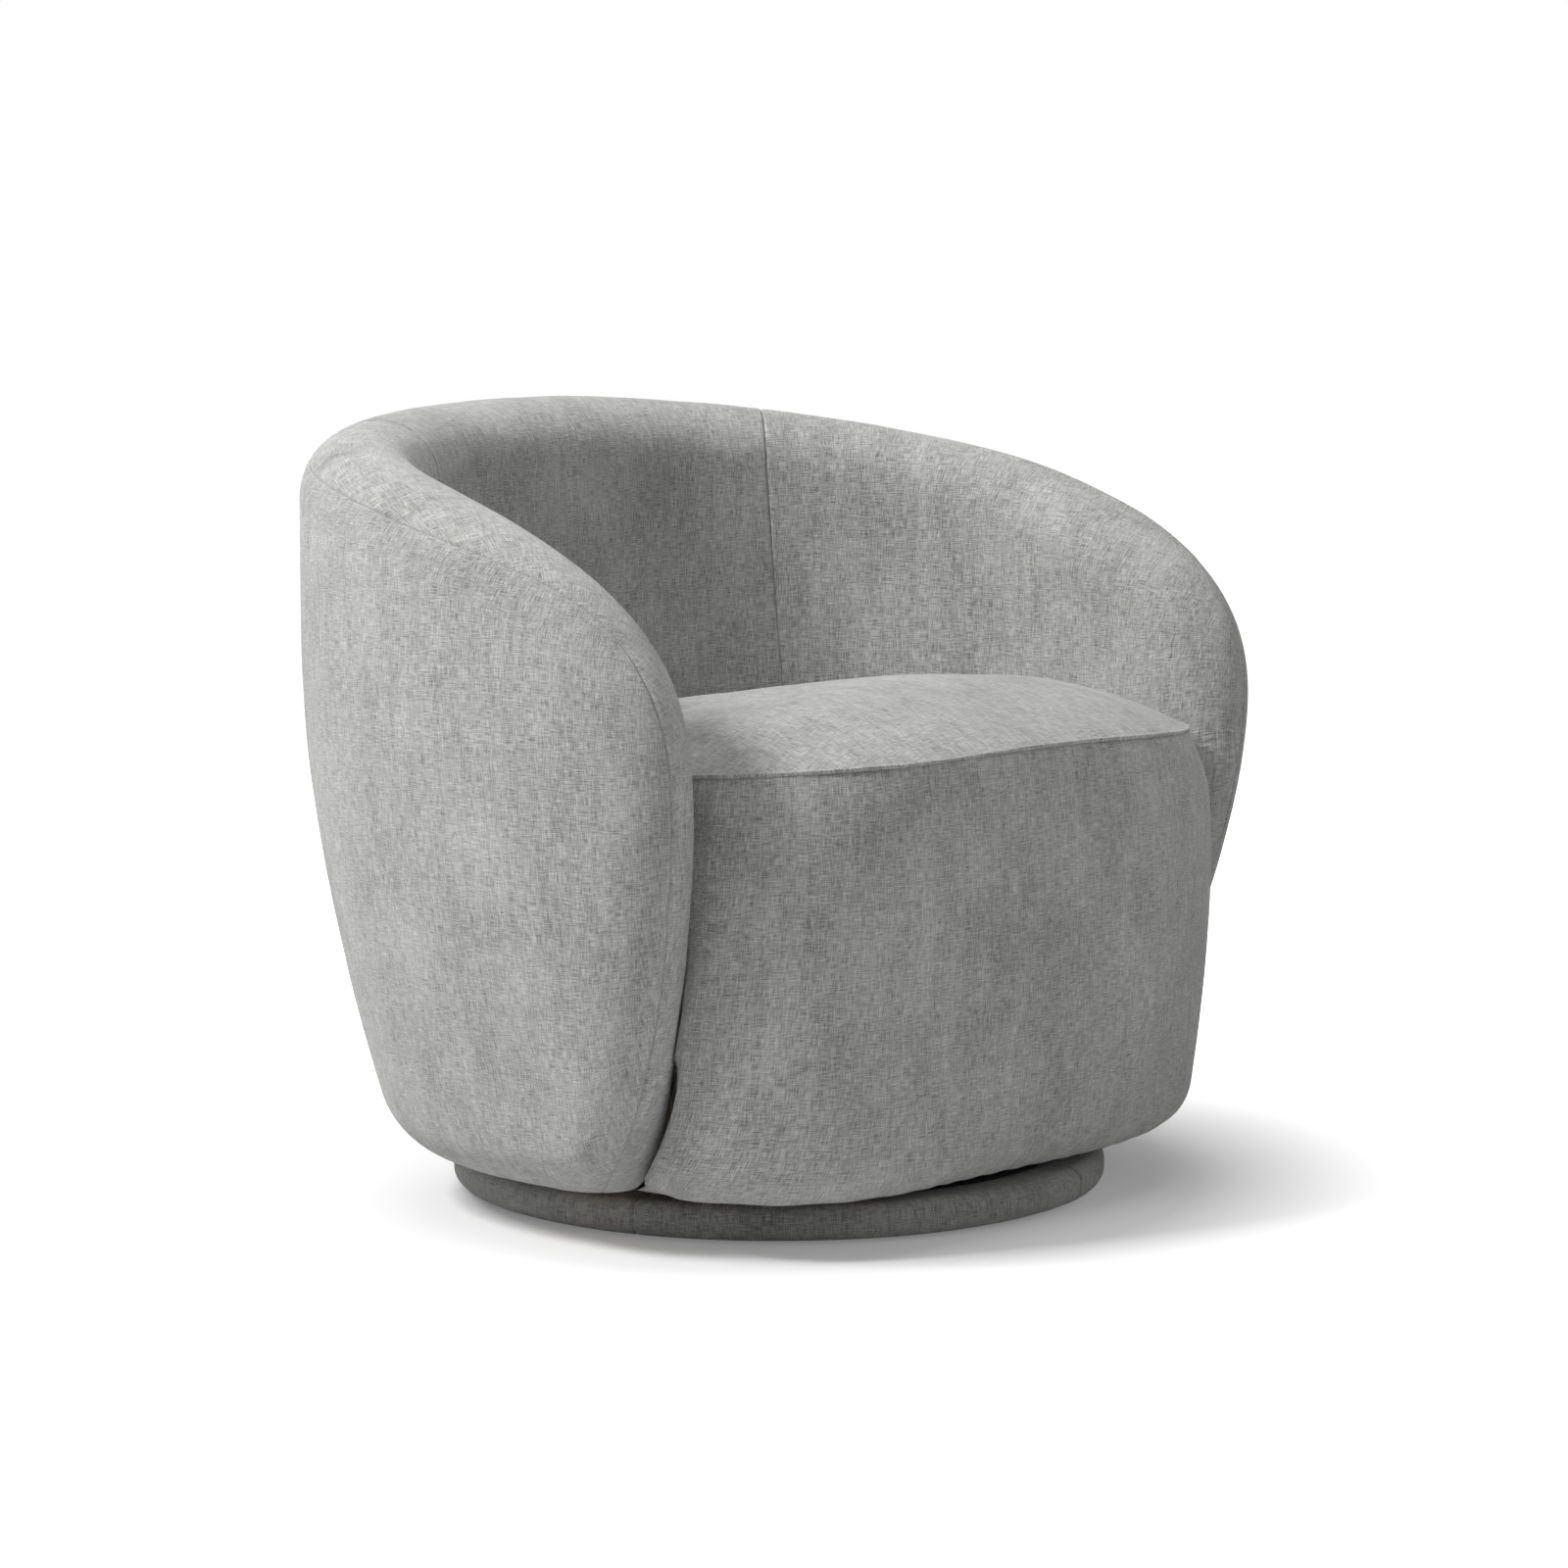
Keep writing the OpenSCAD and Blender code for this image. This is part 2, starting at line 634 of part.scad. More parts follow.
module swivel_plate(z, bore_r, bolt_half) {
    difference() {
        translate([-plate_w / 2, swivel_y - plate_w / 2, z]) linear_extrude(plate_t)
            round_rect(plate_w, plate_w, 2 * bolt_head_r);
        about_swivel() cylinder(r = bore_r, h = board_z);
        at_corners(bolt_half) cylinder(r = bolt_r, h = board_z);
        race_groove();
    }
}

module swivel_lower_plate() {
    color(steel) swivel_plate(plinth_top_z, rivet_r, lower_bolt_half);
}

module swivel_upper_plate() {
    color(steel) swivel_plate(plinth_top_z + swivel_h - plate_t, rivet_r + running_gap, upper_bolt_half);
}

module lower_plate_bolts() {
    head_z = plinth_top_z + plate_t;
    color(dark_steel) at_corners(lower_bolt_half) {
        translate([0, 0, head_z]) cylinder(r = bolt_head_r, h = bolt_head_h);
        translate([0, 0, plinth_split_z - nut_h]) cylinder(r = bolt_r, h = head_z - plinth_split_z + nut_h);
        translate([0, 0, plinth_split_z - nut_h]) cylinder(r = nut_r, h = nut_h, $fn = 6);
    }
}

module upper_plate_bolts() {
    head_z = plinth_top_z + swivel_h - plate_t - bolt_head_h;
    color(dark_steel) at_corners(upper_bolt_half) {
        translate([0, 0, head_z]) cylinder(r = bolt_head_r, h = bolt_head_h);
        translate([0, 0, head_z]) cylinder(r = bolt_r, h = board_top_z + nut_h - head_z);
        translate([0, 0, board_top_z]) cylinder(r = nut_r, h = nut_h, $fn = 6);
    }
}

module pivot_rivet() {
    color(dark_steel) about_swivel() {
        translate([0, 0, plinth_top_z - rivet_head_h]) cylinder(r = rivet_head_r, h = rivet_head_h);
        translate([0, 0, plinth_top_z]) cylinder(r = rivet_r, h = swivel_h + fit_gap);
        translate([0, 0, plinth_top_z + swivel_h + fit_gap]) cylinder(r = rivet_head_r, h = rivet_head_h);
    }
}

cage_h = 2.6;
cage_w = 4.2 * ball_r;

module ball_cage() {
    mid_z = plinth_top_z + swivel_h / 2;
    color(nylon_white) difference() {
        translate([0, swivel_y, mid_z - cage_h / 2]) cylinder(r = race_r + cage_w / 2, h = cage_h, $fn = 96);
        translate([0, swivel_y, mid_z - cage_h]) cylinder(r = race_r - cage_w / 2, h = 2 * cage_h, $fn = 96);
        round_circle(ball_count, race_r, 0) translate([0, 0, mid_z - cage_h])
            cylinder(r = ball_r + 3 * running_gap, h = 2 * cage_h, $fn = 24);
    }
}

module bearing_balls() {
    color(steel) round_circle(ball_count, race_r, 0)
        translate([0, 0, plinth_top_z + swivel_h / 2]) sphere(r = ball_r, $fn = 24);
}

// Base board: under the shell at the back, under the seat at the front
plan_turns = [for (a = [0:6:354]) a];
board_step_angle = turned(unroll(nose_foot_angle) - nose_corner - rim_foam_t);
board_step_y = (skin_r(board_step_angle, board_z) - board_edge) * cos(board_step_angle) + plan_y;

module shell_plan(z, depth) {
    polygon([for (a = plan_turns) let(r = skin_r(a, z) - depth) [r * sin(a), r * cos(a) + plan_y]]);
}

module board_plan(draw_in) {
    intersection() {
        shell_plan(board_z, board_edge + draw_in);
        translate([-shell_half_w, board_step_y + draw_in]) square([2 * shell_half_w, 2 * shell_back_r]);
    }
    polygon([for (a = seat_angles) let(r = core_r(a) - fit_gap - draw_in) [r * sin(a), r * cos(a) + plan_y]]);
}

module frame_screw_places(z) {
    for (a = [-90:30:90]) {
        r = skin_r(a, board_z) - board_edge - foot_rail_w / 2;
        translate([r * sin(a), r * cos(a) + plan_y, z]) children();
    }
    for (side = [-1, 1]) for (y = [seat_panel_front_y + block_w, seat_panel_back_y - block_w])
        translate([side * seat_panel_x, y, z]) children();
}

module frame_screws() {
    color(steel) frame_screw_places(board_z) mirror([0, 0, 1]) wood_screw(screw_len);
}

module base_board() {
    color(ply_tan) difference() {
        translate([0, 0, board_z]) linear_extrude(board_t) board_plan(0);
        translate([0, swivel_y, board_z - overrun]) cylinder(r = rivet_room_r, h = board_t + 2 * overrun);
        at_corners(upper_bolt_half) cylinder(r = bolt_r, h = board_top_z + overrun);
        frame_screw_places(board_z) mirror([0, 0, 1]) wood_screw(screw_len);
    }
}

module dust_cover() {
    color(cloth_black) difference() {
        translate([0, 0, board_z - dust_t]) linear_extrude(dust_t) board_plan(hem_w + 2 * cover_t);
        about_swivel() cylinder(r = rivet_room_r, h = board_z + overrun);
        at_corners(upper_bolt_half) cylinder(r = bolt_r, h = board_z + overrun);
    }
}

// Foot rail: a C-shaped board that carries the ribs
tongue_end_angle = turned(unroll(nose_foot_angle) - nose_corner - tongue_gap);
tongue_w = foot_rail_w / 2;
rail_sides = 18;

module rail_plan(end_angle, width) {
    turns = [for (i = [-rail_sides:rail_sides]) i / rail_sides * end_angle];
    outer = [for (a = turns) let(r = skin_r(a, board_z) - board_edge) [r * sin(a), r * cos(a) + plan_y]];
    inner = [for (a = turns)
        let(r = skin_r(a, board_z) - board_edge - width)
        [r * sin(-a), r * cos(a) + plan_y]];
    polygon(concat(outer, inner));
}

module foot_rail() {
    color(ply_tan) difference() {
        translate([0, 0, board_top_z]) linear_extrude(board_t) {
            rail_plan(board_step_angle, foot_rail_w);
            rail_plan(tongue_end_angle, tongue_w);
        }
        frame_screw_places(board_z) mirror([0, 0, 1]) wood_screw(screw_len);
    }
}

// Ribs: uprights in planes through the plan's centre
rib_z_shares = [0, 0.08, 0.2, 0.45, 0.7, 1];
rib_middle = 5;

function cavity_depth(z) = outer_foam_t + edge_round(z - board_top_z, cavity_foot_w, cavity_foot_h);

module rib(i) {
    a = (i - rib_middle) * rib_step;
    lean = asin(rib_t / 2 / plan_r(a));
    rail_low = rail_edge_inset + rail_t;
    top = min(arch_z(a - lean, rail_low), arch_z(a + lean, rail_low)) - rib_top_gap;
    low = rail_top_z;
    heights = [for (f = rib_z_shares) low + (top - low) * f];
    slack = panel_t + fit_gap + facet_gap;
    outer = [for (z = heights) [min(skin_r(a - lean, z), skin_r(a + lean, z)) - cavity_depth(z) - slack, z]];
    inner = [for (z = heights) [max(skin_r(a - lean, z), skin_r(a + lean, z)) - cavity_in + slack, z]];
    color(ply_tan) translate([0, plan_y, 0]) rotate([0, 0, 90 - a]) rotate([90, 0, 0])
        translate([0, 0, -rib_t / 2]) linear_extrude(rib_t)
            polygon(concat(outer, [for (k = [len(inner) - 1:-1:0]) inner[k]]));
}

// Bars along the rim: the top rail and the two arm posts
function bar_ring(i) =
    let(s = station(i), low = rail_top_z + fit_gap)
    let(p = arch(s, rail_edge_inset, low), q = arch(s, rail_edge_inset + rail_t, low))
    let(mp = (cavity_depth(p.y) + cavity_in) / 2, mq = (cavity_depth(q.y) + cavity_in) / 2)
    let(hp = min(rail_w / 2, cavity_in - mp - panel_t), hq = min(rail_w / 2, cavity_in - mq - panel_t))
    [shell_point(p.x, p.y, mp + hp), shell_point(p.x, p.y, mp - hp),
     shell_point(q.x, q.y, mq - hq), shell_point(q.x, q.y, mq + hq)];

module top_rail() {
    color(ply_tan) swept_bar([for (i = [-post_station:post_station]) bar_ring(i)]);
}

module left_arm_post() {
    mirror([1, 0, 0]) right_arm_post();
}

module right_arm_post() {
    color(ply_tan) swept_bar([for (i = [post_station:last_station]) bar_ring(i)]);
}

panel_columns = [last_station - post_station, last_station + post_station];

module outer_panel() {
    first = 3;
    outside = cavity_layer(fit_gap, 0);
    inside = cavity_layer(fit_gap + panel_t, 0);
    color(board_brown) patch(cut(outside, first, row_rim_start, panel_columns[0], panel_columns[1]),
        cut(inside, first, row_rim_start, panel_columns[0], panel_columns[1]));
}

module inner_panel() {
    first = row_last - len(inner_shares);
    outside = cavity_layer(0, fit_gap);
    inside = cavity_layer(0, fit_gap + panel_t);
    color(board_brown) patch(cut(outside, first, row_last, panel_columns[0], panel_columns[1]),
        cut(inside, first, row_last, panel_columns[0], panel_columns[1]));
}

// Foam and cloth of the wall
module shell_foam() {
    outside = skin_layer(cover_t + foam_gap, 0);
    inside = cavity_layer(0, 0);
    color(foam_cream) patch(cut(outside, 1, row_last, 0, 2 * last_station),
        cut(inside, 1, row_last, 0, 2 * last_station));
}

module cover_piece(r0, r1, c0, c1, ease) {
    outside = skin_layer(0, hem_w);
    inside = skin_layer(cover_t, hem_w);
    color(cloth_grey)
        patch(eased(cut(outside, r0, r1, c0, c1), ease), eased(cut(inside, r0, r1, c0, c1), ease));
}

module outside_cover() {
    cover_piece(0, row_shoulder, 0, 2 * last_station, 0);
}

module left_arm_cover() {
    cover_piece(row_shoulder, row_last, 0, last_station - seam_station, seam_ease);
}

module inside_back_cover() {
    cover_piece(row_shoulder, row_last, last_station - seam_station, last_station + seam_station, seam_ease);
}

module right_arm_cover() {
    cover_piece(row_shoulder, row_last, last_station + seam_station, 2 * last_station, seam_ease);
}

// Seat frame
seat_panel_x = opening_half_w + deck_t * 0.8;
seat_panel_front_in = 55;
seat_panel_back_in = 15;
seat_panel_front_y = opening_front_y + seat_panel_front_in;
seat_panel_back_y = opening_back_y - seat_panel_back_in;
rear_panel_y = opening_back_y + 2 * deck_t;
rear_panel_half_w = seat_panel_x - deck_t;
seat_panel_h = deck_z - deck_t - board_top_z;

module seat_side_panel(side) {
    color(ply_tan) difference() {
        translate([side * seat_panel_x - deck_t / 2, seat_panel_front_y, board_top_z])
            cube([deck_t, seat_panel_back_y - seat_panel_front_y, seat_panel_h]);
        frame_screw_places(board_z) mirror([0, 0, 1]) wood_screw(screw_len);
    }
}

module left_seat_panel() {
    seat_side_panel(-1);
}

module right_seat_panel() {
    seat_side_panel(1);
}

module rear_seat_panel() {
    color(ply_tan) translate([-rear_panel_half_w, rear_panel_y - deck_t / 2, board_top_z])
        cube([2 * rear_panel_half_w, deck_t, seat_panel_h]);
}

module glue_blocks() {
    inner_x = seat_panel_x - deck_t / 2;
    ends = [seat_panel_front_y + block_w, seat_panel_back_y - block_w];
    color(ply_tan) for (side = [-1, 1]) for (y = ends)
        translate([side * inner_x, y, board_top_z]) rotate([90, 0, 0])
            translate([0, 0, -block_w / 2]) linear_extrude(block_w)
                polygon([[0, 0], [-side * block_w, 0], [0, block_w]]);
}

front_board_half_angle = 50;
front_board_angles = [for (a = front_angles) if (abs(a - 180) < front_board_half_angle) a];

module front_board() {
    outer = [for (a = front_board_angles) let(r = core_r(a) - fit_gap) [r * sin(a), r * cos(a) + plan_y]];
    inner = [for (i = [len(front_board_angles) - 1:-1:0])
        let(a = front_board_angles[i], r = core_r(a) - fit_gap - front_board_t)
        [r * sin(a), r * cos(a) + plan_y]];
    color(ply_tan) translate([0, 0, board_top_z]) linear_extrude(seat_panel_h) polygon(concat(outer, inner));
}

module deck_plan(draw_in) {
    polygon([for (a = seat_angles) let(r = deck_r(a) - draw_in) [r * sin(a), r * cos(a) + plan_y]]);
}

module opening_plan(grow) {
    translate([-opening_half_w - grow, opening_front_y - grow])
        square([2 * (opening_half_w + grow), opening_back_y - opening_front_y + 2 * grow]);
}

module seat_deck() {
    color(ply_tan) translate([0, 0, deck_z - deck_t]) linear_extrude(deck_t) difference() {
        deck_plan(0);
        opening_plan(0);
    }
}

module edge_roll() {
    color(foam_cream) translate([0, 0, deck_z]) linear_extrude(edge_roll_h) difference() {
        deck_plan(fit_gap);
        opening_plan(edge_roll_w);
    }
}

// Springs: flat waves from front to back, arched a little
clip_len = edge_roll_w * 0.6;
clip_w = 5 * wire_r;
clip_h = 4 * wire_r;
wire_z = deck_z + clip_h / 2;
spring_rise = roll_top_z - felt_t - fit_gap - wire_r - wire_z;
wave_points = 8;
wire_sides = 5;

function spring_path(x) =
    let(n = wave_points * spring_waves, y0 = opening_front_y, y1 = opening_back_y)
    concat(
        [[x, y0 - clip_len, wire_z]],
        [for (i = [0:n])
            let(t = i / n, rise = spring_rise * 4 * t * (1 - t))
            [x + spring_half_w * sin(360 * spring_waves * t), y0 + (y1 - y0) * t, wire_z + rise]],
        [[x, y1 + clip_len, wire_z]]
    );

// Rings round a path's points, square to the path in plan
function wire_rings(path) = [for (i = [0:len(path) - 1])
    let(a = path[max(0, i - 1)], b = path[min(len(path) - 1, i + 1)])
    let(d = [b.x - a.x, b.y - a.y], side = [d.y, -d.x] / norm(d))
    [for (k = [0:wire_sides - 1])
        let(t = 360 * k / wire_sides)
        path[i] + wire_r * [side.x * cos(t), side.y * cos(t), sin(t)]]];

module spring_places() {
    for (i = [0:spring_count - 1]) translate([(i - (spring_count - 1) / 2) * spring_step, 0, 0]) children();
}

module seat_springs() {
    color(dark_steel) spring_places() swept_bar(wire_rings(spring_path(0)));
}

module spring_clips() {
    color(steel) spring_places() for (end = [0, 1])
        translate([0, end == 0 ? opening_front_y - clip_len : opening_back_y, deck_z]) difference() {
            translate([-clip_w / 2, 0, 0]) cube([clip_w, clip_len, clip_h]);
            translate([0, -overrun, clip_h / 2]) rotate([-90, 0, 0])
                cylinder(r = wire_r + running_gap, h = clip_len + 2 * overrun, $fn = 24);
        }
}

module spring_felt() {
    color(felt_grey) translate([0, 0, roll_top_z - felt_t]) linear_extrude(felt_t)
        opening_plan(edge_roll_w - 2 * fit_gap);
}

// Seat foam and covers
seat_foam_z = roll_top_z + fit_gap;
front_mid_z = seat_waist_z * 0.7;

module seat_foam() {
    foot = [for (a = seat_angles) level_point(a, seat_foam_z, cover_t)];
    rings = concat([foot], cap_rings(cover_t));
    color(foam_cream) ringed_solid(rings, [0, plan_y, seat_foam_z], crown_top(cover_t));
}

// Height of the top cover's lower edge: at the seam in front, tucked in at the sides and the back
function cover_low_z(a) =
    let(t = clamp_share((abs(a) - side_end) / (front_end - side_end)))
    seam_z - tuck_h + (tuck_h - seam_allowance) * t;
function cap_rings(depth) = concat(
    [[for (a = seat_angles) seat_point(a, cover_low_z(a), depth)], seat_ring(seam_z, depth)],
    [for (q = crown_shares) crown_ring(q, depth)]
);

module seat_top_cover() {
    color(cloth_grey) ringed_cap(cap_rings(0), crown_top(0), cap_rings(cover_t), crown_top(cover_t));
}

module front_foam() {
    low = body_z + cover_t;
    skin = cover_t + foam_gap;
    upper = [front_mid_z, seat_waist_z, roll_top_z];
    heights = concat([for (f = round_shares) low + front_round * f], upper);
    outer = [for (z = heights) level_row(z, skin + edge_round(z - low, front_round, front_round))];
    inner = [for (z = heights) [for (a = front_angles) flat_point(a, core_r(a), z)]];
    color(foam_cream) patch(outer, inner);
}

module front_cover() {
    levels = [for (f = round_shares) front_round * f];
    upper = [front_mid_z, seat_waist_z, seat_foam_z];
    outer = concat(
        [level_row(body_z, front_round + hem_w)],
        [for (h = levels) level_row(body_z + h, edge_round(h, front_round, front_round))],
        [for (z = upper) level_row(z, 0)],
        [seam_row(0)]
    );
    inner = concat(
        [level_row(body_z + cover_t, front_round + hem_w)],
        [for (h = levels) level_row(body_z + cover_t + h, cover_t + edge_round(h, front_round, front_round))],
        [for (z = upper) level_row(z, cover_t)],
        [seam_row(cover_t)]
    );
    color(cloth_grey) patch(outer, inner);
}

// The top edge of the front cover, below the seam's sloping line
function seam_row(depth) = [for (a = front_angles) seat_point(a, seam_z - seam_allowance, depth)];

plinth_glides();
plinth_ring();
plinth_deck();
plinth_screws();
plinth_padding();
plinth_cover();
swivel_lower_plate();
lower_plate_bolts();
pivot_rivet();
ball_cage();
bearing_balls();
swivel_upper_plate();
upper_plate_bolts();
base_board();
dust_cover();
frame_screws();
foot_rail();
rib(1);  // rib_1
rib(2);  // rib_2
rib(3);  // rib_3
rib(4);  // rib_4
rib(5);  // rib_5
rib(6);  // rib_6
rib(7);  // rib_7
rib(8);  // rib_8
rib(9);  // rib_9
top_rail();
left_arm_post();
right_arm_post();
outer_panel();
inner_panel();
shell_foam();
outside_cover();
inside_back_cover();
left_arm_cover();
right_arm_cover();
left_seat_panel();
right_seat_panel();
rear_seat_panel();
glue_blocks();
front_board();
seat_deck();
seat_springs();
spring_clips();
spring_felt();
edge_roll();
seat_foam();
front_foam();
seat_top_cover();
front_cover();
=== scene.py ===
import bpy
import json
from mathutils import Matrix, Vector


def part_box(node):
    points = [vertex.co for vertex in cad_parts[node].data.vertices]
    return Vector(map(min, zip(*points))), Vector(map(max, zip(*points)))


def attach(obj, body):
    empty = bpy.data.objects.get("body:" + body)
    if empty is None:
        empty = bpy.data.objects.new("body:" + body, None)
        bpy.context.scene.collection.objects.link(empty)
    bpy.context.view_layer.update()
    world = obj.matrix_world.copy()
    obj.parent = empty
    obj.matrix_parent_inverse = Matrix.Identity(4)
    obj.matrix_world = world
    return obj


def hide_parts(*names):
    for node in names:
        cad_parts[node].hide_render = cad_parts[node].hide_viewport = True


bl_info = {
    "name": "Swivel club chair",
    "version": (1, 0, 0),
    "blender": (4, 5, 0),
    "location": "View3D > Sidebar > Club chair",
    "description": "Covers, padding, seams and finishes of a barrel-shaped swivel club chair",
    "category": "Add Mesh",
}

import json
import math

import bmesh
import bpy
import numpy as np
from bpy.props import FloatProperty, FloatVectorProperty, IntProperty, PointerProperty
from mathutils import Vector, noise

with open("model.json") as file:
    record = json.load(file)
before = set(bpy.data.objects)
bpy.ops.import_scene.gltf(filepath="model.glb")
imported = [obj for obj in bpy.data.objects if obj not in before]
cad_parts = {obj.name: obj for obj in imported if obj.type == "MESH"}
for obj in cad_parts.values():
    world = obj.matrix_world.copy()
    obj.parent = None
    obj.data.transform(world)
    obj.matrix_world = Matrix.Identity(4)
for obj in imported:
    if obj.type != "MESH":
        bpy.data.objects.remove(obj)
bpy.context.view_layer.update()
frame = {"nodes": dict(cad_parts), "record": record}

CLOTH, PLINTH_SHADED_CLOTH, FOAM, FELT, DUST = "upholstery_cloth", "plinth_cloth", "foam", "felt", "dust_cloth"
PLYWOOD, DECK_SHADE_PLYWOOD, FIBREBOARD, NYLON = "plywood", "stained_plywood", "fibreboard", "nylon"
PLATE_STEEL, ZINC_STEEL, DARK_STEEL, THREAD = "plate_steel", "zinc_steel", "dark_steel", "thread"
WEAVE_MAP = "Weave"
# Distances of the mesh lines beside a seam
SEAM_STEPS = (0, 0.0005, 0.001, 0.0016, 0.0024, 0.0034, 0.0048, 0.0066, 0.009, 0.012)


def size(name, default, description, low=0.0, high=5.0):
    """A length in metres."""
    return FloatProperty(name=name, description=description, default=default, min=low, max=high,
                         unit="LENGTH", precision=4)


def number(name, default, description, low=0.0, high=10.0):
    """A plain number, such as a curve's power."""
    return FloatProperty(name=name, description=description, default=default, min=low, max=high)


def turn(name, degrees, description):
    """An angle."""
    return FloatProperty(name=name, description=description, default=math.radians(degrees), subtype="ANGLE")


def tone(name, default, description):
    """A colour."""
    return FloatVectorProperty(name=name, description=description, default=default, size=3,
                               min=0, max=1, subtype="COLOR")


class ShellShape(bpy.types.PropertyGroup):
    """The barrel shell: back, arms and rim."""
    half_w: size("Half width", 0.463, "Half width of the shell at the arms")
    back_r: size("Reach behind", 0.394, "Reach of the plan curve behind its centre")
    front_r: size("Reach in front", 0.477, "Reach of the plan curve in front of its centre")
    plan_power: number("Plan power", 2.35, "Power of the plan curve: 2 is an ellipse, more is squarer")
    plan_y: size("Plan centre", -0.0435, "Centre of the plan curve along Y", -1)
    top_z: size("Back height", 0.721, "Height of the back above the floor")
    waist_z: size("Widest height", 0.501, "Height where the shell is widest")
    foot_draw_in: size("Foot draw-in", 0.087, "How far the arms are drawn in at the foot")
    foot_power: number("Foot power", 1.72, "Power of that curve")
    wall_t: size("Wall", 0.112, "Thickness of the upholstered wall")
    round_w: size("Foot rounding width", 0.049, "Width of the rounding under the wall")
    round_h: size("Foot rounding height", 0.055, "Height of the rounding under the wall")
    nose_angle: turn("Arm end", 119, "Angle from the middle of the back to the front of an arm")
    nose_foot_angle: turn("Arm foot", 109.6, "The same angle at the foot of the arm")
    nose_z: size("Arm end height", 0.385, "Height where the arm end reaches furthest forward")
    nose_power: number("Arm end power", 1.72, "Power of the arm end's curve below that height")
    nose_corner: size("Arm foot rounding", 0.048, "How far the foot of the arm end is rounded back")
    nose_corner_h: size("Arm foot height", 0.1, "Height of that rounding")
    across_power: number("Rim power across", 1.91, "Power of the rim's slope across the shell")
    height_power: number("Rim power in height", 3.07, "Power of the rim's slope in height")
    unroll_r: size("Unrolling radius", 0.34, "Radius at which the wall is unrolled flat")
    body_z: size("Body height", 0.046, "Height of the chair's underside")
    rail_z: size("Rail height", 0.0843, "Height of the frame's rail inside the wall")
    seam_u: size("Inside seams", 0.252, "Distance from the middle of the back to the inside seams, unrolled")
    shoulder_back: turn("Shoulder seam, back", 57, "Place of the shoulder seam: 90 is the outside, 0 the top")
    shoulder_arm: turn("Shoulder seam, arms", 30.5, "The same along the arms")
    shoulder_foot: turn("Shoulder seam, foot", 45, "The same at the foot of the arm ends")


class SeatShape(bpy.types.PropertyGroup):
    """The tight seat and its front panel."""
    half_w: size("Half width", 0.363, "Half width of the seat's plan curve")
    hem_ripple: size("Hem ripple", 0.001, "Height of the small puckers of the front cover's hem")
    corner_in: size("Corner rounding", 0.012, "How far the seat's upper front corners are drawn in")
    corner_h: size("Corner height", 0.07, "Height of that rounding")
    corner_lift: size("Corner lift", 0.0135, "How far the front cover's lower corners are pulled up")
    front_r: size("Reach in front", 0.307, "Reach of the seat's plan curve in front of the shell's centre")
    power: number("Plan power", 3.33, "Power of the seat's plan curve")
    seam_z: size("Seam height", 0.427, "Height of the seam along the front edge")
    crown_h: size("Crown", 0.0555, "Crown of the seat above the seam")
    crown_power: number("Crown power", 3.0, "Power of the crown's curve")
    seam_drop: size("Seam drop", 0.013, "Drop of the seam at the sides")
    slope: number("Slope", 0.15, "Slope of the seat down towards the back")
    slope_in: size("Slope start", 0.163, "Distance from the seat's front to where that slope starts")
    slope_power: number("Slope fade", 4.0, "Power with which the slope fades out towards the seam")
    waist_z: size("Waist", 0.275, "Height below which the front panel is drawn in")
    draw_in: size("Draw-in", 0.021, "How far the front panel is drawn in at its foot")
    foot_power: number("Foot power", 1.56, "Power of that curve")
    top_in: size("Top draw-in", 0.0095, "How far the seat is drawn in at the seam")
    foot_round: size("Foot rounding", 0.0405, "Rounding under the front panel")
    pad_t: size("Front pad", 0.044, "Thickness of the front panel's foam and cloth")
    gap: size("Gap to the arms", 0.0015, "Room between the seat and the inside of the arms")
    nose_gap: size("Gap to the arm ends", 0.006, "Room between the seat and the arm ends")
    deck_z: size("Deck height", 0.3, "Height of the seat deck")
    roll_h: size("Edge roll", 0.02, "Height of the foam strip round the deck")


class PlinthShape(bpy.types.PropertyGroup):
    """The round plinth."""
    radius: size("Radius", 0.302, "Radius over the cloth")
    centre_y: size("Swivel axis", -0.0155, "Swivel axis and middle of the plinth along Y", -1)
    low_z: size("Underside", 0.003, "Height of the underside above the floor")
    high_z: size("Top", 0.035, "Height of the top")
    edge: size("Rounding", 0.013, "Rounding of the edge")
    cloth_t: size("Cloth", 0.0015, "Thickness of the cloth")
    hem_w: size("Hem", 0.046, "Cloth folded over the two faces")
    pad_t: size("Padding", 0.014, "Thickness of the foam band")


class ClothLook(bpy.types.PropertyGroup):
    """Cloth, seams and foam."""
    thickness: size("Cloth thickness", 0.002, "Thickness of the upholstery cloth")
    seam_depth: size("Seam depth", 0.0024, "Depth of the crease along a seam")
    seam_w: size("Seam width", 0.0036, "Half width of that crease")
    pucker: size("Pucker", 0.00035, "Height of the small puckers beside a seam")
    pucker_w: size("Pucker length", 0.016, "Distance between puckers")
    wave: size("Unevenness", 0.0016, "How far hand-fitted cloth stands off the plain form")
    grid: size("Mesh step", 0.009, "Distance between the cloth's mesh lines")
    stitch: size("Stitch", 0.0036, "Distance between stitches")
    staple: size("Staple distance", 0.032, "Distance between staples")
    light: tone("Light thread", (0.6, 0.6, 0.586), "The lighter threads")
    dark: tone("Dark thread", (0.165, 0.166, 0.16), "The darker threads")
    fleck: tone("Fleck", (0.76, 0.76, 0.745), "The pale flecks")
    seed: IntProperty(name="Seed", description="Seed of the unevenness", default=7, min=0)


